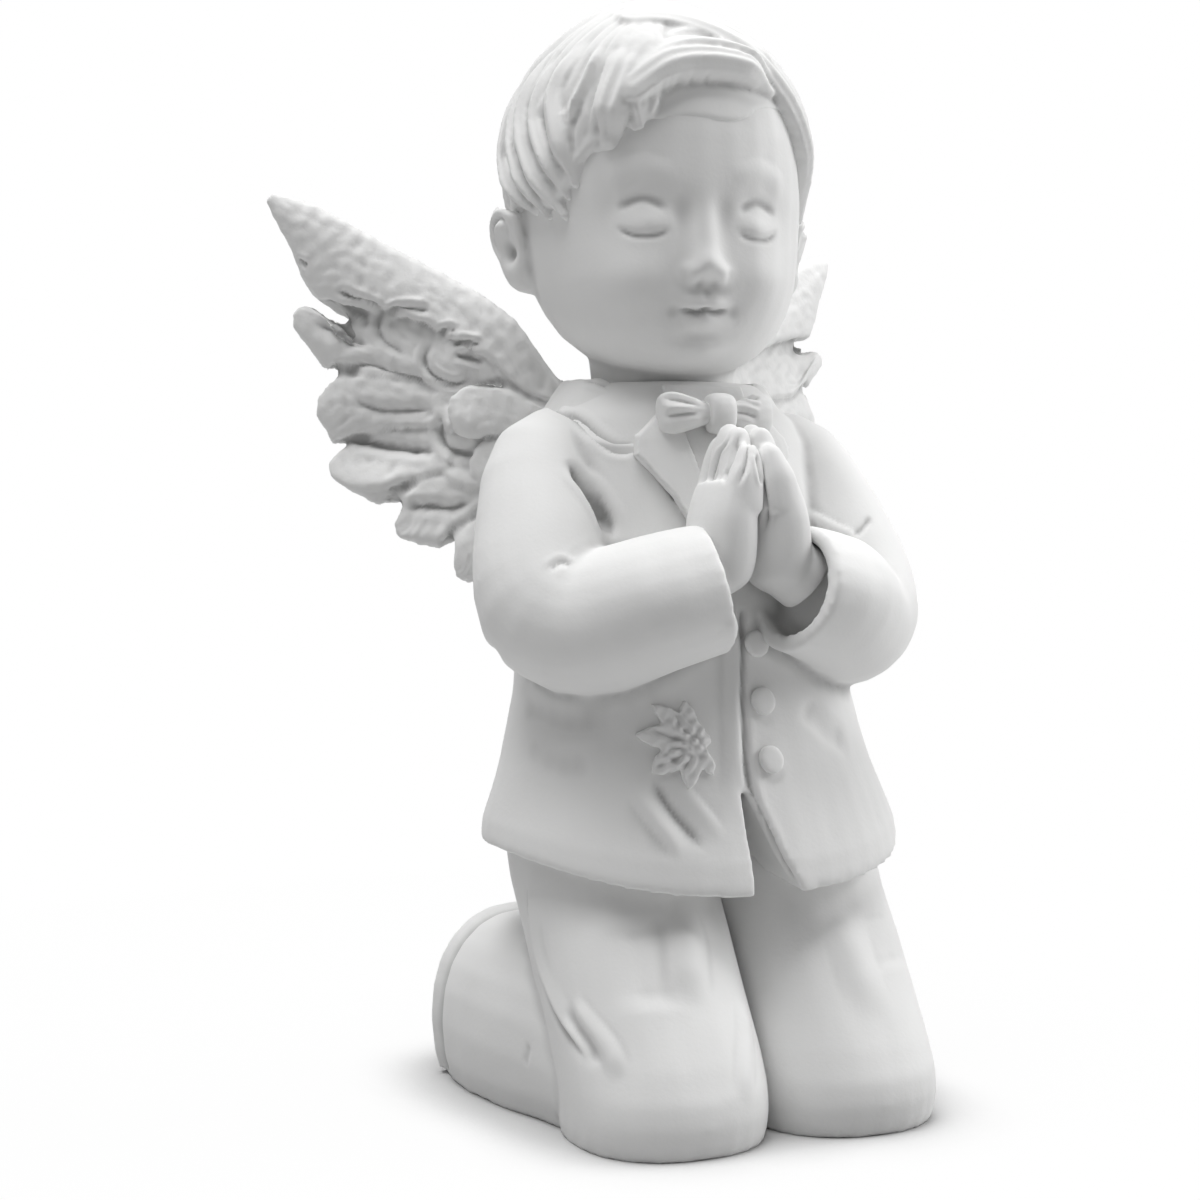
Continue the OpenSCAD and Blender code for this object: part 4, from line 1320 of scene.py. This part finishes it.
@dataclass
class Wings:
    """The two feathered wings: quills, slanting barbs and a slightly uneven skin."""

    voxel: float = 0.32
    reach: float = 46.5
    root: Point = (6.0, 21.7, 86.8)
    sweep: float = 32.0
    low_z: float = 73.0
    right_tip_z: float = 126.0
    left_tip_z: float = 121.0
    barb_pitch: float = 1.7
    barb_depth: float = 0.045
    quill_depth: float = 0.15
    overlap: float = 0.8
    layer: float = 2.2
    pulls: tuple[tuple[Pixel, Pixel, float], ...] = (
        ((40.5, 104.5), (0.0, 3.6), 6.0), ((37.5, 95.5), (-0.6, 0.0), 4.0),
        ((33.0, 88.0), (2.6, -1.0), 5.0), ((28.0, 81.0), (-1.7, -2.3), 4.5),
        ((21.0, 74.0), (-2.3, -1.3), 4.5), ((36.0, 112.0), (3.0, -0.5), 7.0),
        ((5.5, 102.5), (0.0, -3.8), 5.5), ((33.5, 107.5), (0.0, -1.8), 3.2),
        ((36.5, 103.5), (-0.5, 1.2), 3.5))
    lumps: tuple[tuple[Pixel, float, float], ...] = (
        ((452, 357), 3.2, 0.9), ((464, 430), 3.0, 0.9), ((365, 345), 4.0, -0.5))
    tilts: tuple[tuple[Pixel, float, float], ...] = (((385, 468), 9.0, 0.55), ((442, 528), 7.0, 0.4))
    blur: int = 3
    seed: int = 23
    humps: Humps = (2.4, 0.05, 23)
    slots: tuple[Stroke, ...] = (
        crease(((280, 247), (291, 256), (308, 266)), 0.8, 0.7, 0.2),
        crease(((334, 288), (352, 298), (384, 309)), 1.0, 1.2, 0.2),
        crease(((338, 303), (352, 309), (370, 317)), 0.8, 0.7, 0.2),
        crease(((312, 322), (340, 333), (372, 347)), 1.6, 0.8, 0.15),
        crease(((385, 312), (407, 308), (432, 311)), 0.9, 0.8, 0.3),
        crease(((384, 309), (378, 326), (386, 342), (410, 356)), 0.9, 0.5, 0.2),
        crease(((433, 340), (424, 358), (434, 376), (456, 384), (474, 376)), 0.9, 0.7, 0.3),
        crease(((438, 334), (448, 329), (458, 332)), 0.8, 0.6, 0.3),
        crease(((452, 345), (466, 342), (482, 345)), 0.8, 0.8, 0.3),
        crease(((452, 354), (468, 357), (484, 363)), 0.9, 0.8, 0.3),
        crease(((336, 378), (365, 364), (392, 372), (436, 384)), 1.5, 0.8, 0.15),
        crease(((348, 398), (378, 410), (408, 411), (440, 408)), 1.5, 0.7, 0.15),
        crease(((332, 448), (358, 440), (388, 446), (440, 452)), 1.4, 1.2, 0.12),
        crease(((440, 410), (441, 436), (452, 450), (476, 455)), 1.1, 0.9, 0.2),
        crease(((398, 512), (424, 506), (450, 508), (476, 500)), 1.3, 0.8, 0.12),
        Stroke(((334, 488), (372, 494), (420, 480)), 1.2, 0.5, lip=0.3),
    )

    def feathers(self, tip_z: float) -> list[Feather]:
        """The feathers that the solids are made of.

        Args:
            tip_z: Height of the wing's tip.

        Returns:
            Five flight feathers, three short ones, and the leading edge last.
        """
        root_z = self.root[2]
        made = []
        for k in range(1, 6):
            f = k / 5
            foot = (7 - 7 * f, root_z + 10 - 18 * f)
            tip = (self.reach * (0.93 - 0.48 * f * f), tip_z - 6 + (self.low_z - tip_z + 6) * f**0.7)
            made.append(Feather(foot, tip, self.reach * (0.28 - 0.055 * f), -0.5 * k))
        for k in range(3):
            foot, tip = (1.0, root_z + 4 - 4 * k), (0.42 * self.reach - 3 * k, root_z + 9 - 9 * k)
            made.append(Feather(foot, tip, 9.0, -2.0))
        made.append(Feather((0.0, root_z + 4), (self.reach, tip_z), 13.0, 0.0))
        return made

    def build(self) -> None:
        """Sculpts both wings."""
        for side in Side:
            name = f"{side.word}_wing"
            wing = Clay.cast(name, solids(name), self.voxel, 8)
            wing.melt(4)
            self.plume(wing, side)
            if side is Side.RIGHT:
                self.draw_slots(wing)
            wing.ripple(*self.humps)
            wing.finish(ROUGH_RESIN, name)

    def draw_slots(self, wing: Clay) -> None:
        """Models the slots and lumps that the photograph shows on the near face of the right wing.

        Args:
            wing: The right wing with its feathers.
        """
        tree = wing.tree()
        for pixel, size, amount in self.lumps:
            spot = CAMERA.seen(tree, pixel)
            if spot is not None:
                wing.swell(spot, (size, size, size), amount)
        for pixel, reach, slope in self.tilts:
            spot = CAMERA.seen(tree, pixel)
            if spot is not None:
                gap = wing.points - np.array(spot)
                near = np.exp(-((gap / (reach, reach, 0.6 * reach)) ** 2).sum(1))
                wing.points -= np.outer(slope * gap[:, 2] * near, -CAMERA.forward)
        wing.refresh()
        wing.draw(self.slots)

    def pull(self, wing: Clay, root: Array, axes: Array, drop: float) -> None:
        """Pulls the feathers' ends to where they lie in the photograph, in the plane of the wing.

        Args:
            wing: The smooth wing.
            root: Foot of the wing.
            axes: Rows of the wing's own axes: out, back and up.
            drop: How much lower this wing's tip lies than the right one's.
        """
        local = (wing.points - root) @ axes.T
        for (out, height), (further, higher), reach in self.pulls:
            weight = np.exp(-((local[:, 0] - out) ** 2 + (local[:, 2] - height + drop) ** 2) / reach**2)
            wing.points += np.outer(weight, further * axes[0] + higher * axes[2])
        wing.refresh()

    def plume(self, wing: Clay, side: Side) -> None:
        """Cuts the quill and the barbs of every feather, on both faces of the wing.

        Args:
            wing: The smooth wing.
            side: The side that it is on.
        """
        a = math.radians(self.sweep)
        axes = np.array(((math.cos(a), math.sin(a), 0), (-math.sin(a), math.cos(a), 0), (0, 0, 1)))
        axes[:2, 0] *= side.value
        root = np.array((self.root[0] * side.value, self.root[1], 0))
        local = (wing.points - root) @ axes.T
        shares = np.linspace(0, 1, 40)
        tip_z = self.right_tip_z if side is Side.RIGHT else self.left_tip_z
        best = np.full(len(local), np.inf)
        along = np.zeros(len(local))
        across = np.zeros(len(local))
        which = np.zeros(len(local), int)
        feathers = self.feathers(tip_z)
        for number, feather in enumerate(feathers):
            line = feather.middle(shares)
            way = unit(np.gradient(line, axis=0))
            side_way = unit(np.stack([-way[:, 2], np.zeros(len(way)), way[:, 0]], 1))
            length = np.linalg.norm(np.diff(line, axis=0), axis=1).sum()
            gap = local[:, None, :] - line[None, :, :]
            flat = (gap[..., 0] ** 2 + gap[..., 2] ** 2) / (feather.width / 2) ** 2
            score = np.sqrt(flat + (gap[..., 1] / self.layer) ** 2)
            nearest = score.argmin(1)
            row = np.arange(len(local))
            value = score[row, nearest]
            closer = value < best
            best[closer] = value[closer]
            which[closer] = number
            along[closer] = (shares[nearest] * length + (gap[row, nearest] * way[nearest]).sum(1))[closer]
            across[closer] = (gap[row, nearest] * side_way[nearest]).sum(1)[closer]
        rng = np.random.default_rng(self.seed)
        draws = 16
        phase = rng.uniform(0, 6, draws)[which]
        half = np.array([feather.width / 2 for feather in feathers])[which]
        slope = rng.uniform(0.7, 1.25, draws)[which]
        shingle = -self.overlap * slope * np.clip(across / half, -1, 1)
        drift = 0.5 * np.sin(0.45 * along + phase) + 0.3 * np.sin(0.9 * along - 0.5 * across + 2 * phase)
        slant = across - 0.3 * along * np.sign(across) + drift
        strands = np.sin(2 * math.pi * slant / self.barb_pitch + phase)
        strength = 0.5 + 0.5 * np.sin(0.5 * along + 2.1 * phase) * np.cos(0.35 * across + phase)
        quill = np.exp(-((across / 0.6) ** 2))
        barbs = self.barb_depth * strands * np.clip(strength, 0.15, 1)
        move = shingle - self.quill_depth * quill
        for _ in range(self.blur):
            move = wing.neighbours(move[:, None])[:, 0]
        wing.points += wing.normals * (move + barbs)[:, None]
        wing.refresh()
        self.pull(wing, root, axes, self.right_tip_z - tip_z)


@dataclass
class Studio:
    """The white floor, the soft lamps and the camera, in metres and watts.

    A lamp has a name, a place, the length of its side and a power.
    """

    floor_size: float = 4.0
    floor_grey: float = 0.5
    floor_lift: float = 0.3
    contact_reach: float = 0.014
    clear_white: float = 0.93
    shadow_reach: Pair = (0.08, 0.2)
    world_light: float = 0.06
    aim: Point = (0.0, 0.0, 0.08)
    lamps: tuple[tuple[str, Point, float, float], ...] = (
        ("key", (-0.24, 0.0, 2.0), 1.4, 45.5), ("fill", (0.6, -0.15, 0.35), 0.4, 2.9),
        ("kicker", (-0.55, 0.0, 0.6), 0.4, 0.8))

    def build(self) -> None:
        """Sets up the floor, the lamps, the world and the camera."""
        self.floor()
        for name, place, size, power in self.lamps:
            data = bpy.data.lights.new(name, "AREA")
            data.energy = power
            data.size = size
            hang(data, place, Vector(self.aim) - Vector(place))
        self.world()
        CAMERA.place()
        bpy.context.scene.view_settings.view_transform = "Standard"

    def floor(self) -> None:
        """Makes the floor, which looks white to the camera, with a painted contact shadow round the figure's
        foot over what is left of its real shadow.
        """
        form = bmesh.new()
        bmesh.ops.create_grid(form, x_segments=1, y_segments=1, size=self.floor_size / 2)
        mesh = bpy.data.meshes.new("floor")
        form.to_mesh(mesh)
        form.free()
        mesh.materials.append(self.floor_paint())
        floor = bpy.data.objects.new("floor", mesh)
        bpy.context.scene.collection.objects.link(floor)
        floor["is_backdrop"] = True

    def floor_paint(self) -> bpy.types.Material:
        """Makes the floor's finish: grey paint for the light, with a camera-only glow that an occlusion test
        dims into a painted contact shadow near the figure's foot, lifted to white away from it.

        Returns:
            The material.
        """
        material = bpy.data.materials.new("white_floor")
        material.use_nodes = True
        material.node_tree.nodes.clear()
        graph = Graph(material.node_tree)
        rays = graph.seeing_rays()
        # Painted contact shadow: an occlusion test dims the camera-only glow and holds back the white near
        # the figure's foot.
        open_sky = graph.add("ShaderNodeAmbientOcclusion", {"Distance": self.contact_reach}).outputs["AO"]
        contact_shaded_lift = graph.math("MULTIPLY", graph.math("POWER", open_sky, 2.0), self.floor_lift)
        glow = graph.add("ShaderNodeEmission", {"Strength": graph.math("MULTIPLY", contact_shaded_lift, rays)})
        paint = graph.add("ShaderNodeBsdfDiffuse", {"Color": (*[self.floor_grey] * 3, 1)})
        shaded = graph.add("ShaderNodeAddShader", {0: paint.outputs[0], 1: glow.outputs[0]})
        place = graph.add("ShaderNodeTexCoord").outputs["Object"]
        away = graph.add("ShaderNodeVectorMath", {0: place}, operation="LENGTH").outputs["Value"]
        ramps = ((away, *self.shadow_reach, 1.0), (open_sky, 0.6, 1.0, self.clear_white))
        names = ("Value", "From Min", "From Max", "To Max")
        fade, clear = (graph.add("ShaderNodeMapRange", dict(zip(names, ramp)),
                                 interpolation_type="SMOOTHSTEP").outputs["Result"] for ramp in ramps)
        white = graph.add("ShaderNodeEmission")
        share = graph.math("MULTIPLY", graph.math("MAXIMUM", fade, clear), rays)
        mix = graph.add("ShaderNodeMixShader", {"Fac": share, 1: shaded.outputs[0], 2: white.outputs[0]})
        graph.add("ShaderNodeOutputMaterial", {"Surface": mix.outputs[0]})
        return material

    def world(self) -> None:
        """Makes the world: white where the camera sees it, and a plain soft light elsewhere."""
        world = bpy.data.worlds.new("studio")
        world.use_nodes = True
        graph = Graph(world.node_tree)
        level = graph.add("ShaderNodeMapRange", {
            "Value": graph.seeing_rays(), "To Min": self.world_light, "To Max": 1.0})
        graph.feed(world.node_tree.nodes["Background"], {
            "Color": (1, 1, 1, 1), "Strength": level.outputs["Result"]})
        bpy.context.scene.world = world


def main() -> None:
    """Builds the figure and its studio, and works out the two boxes."""
    logging.basicConfig(level=logging.INFO, format="%(message)s")
    cad_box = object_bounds()
    for part in (Trousers(), Suit(), Trims(), Hands(), Head(), Hair(), Wings(), Studio()):
        part.build()
    boxes = {"cad": cad_box, "visual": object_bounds()}
    {name: [list(corner) for corner in box] for name, box in boxes.items()}


if __name__ == "__main__":
    main()
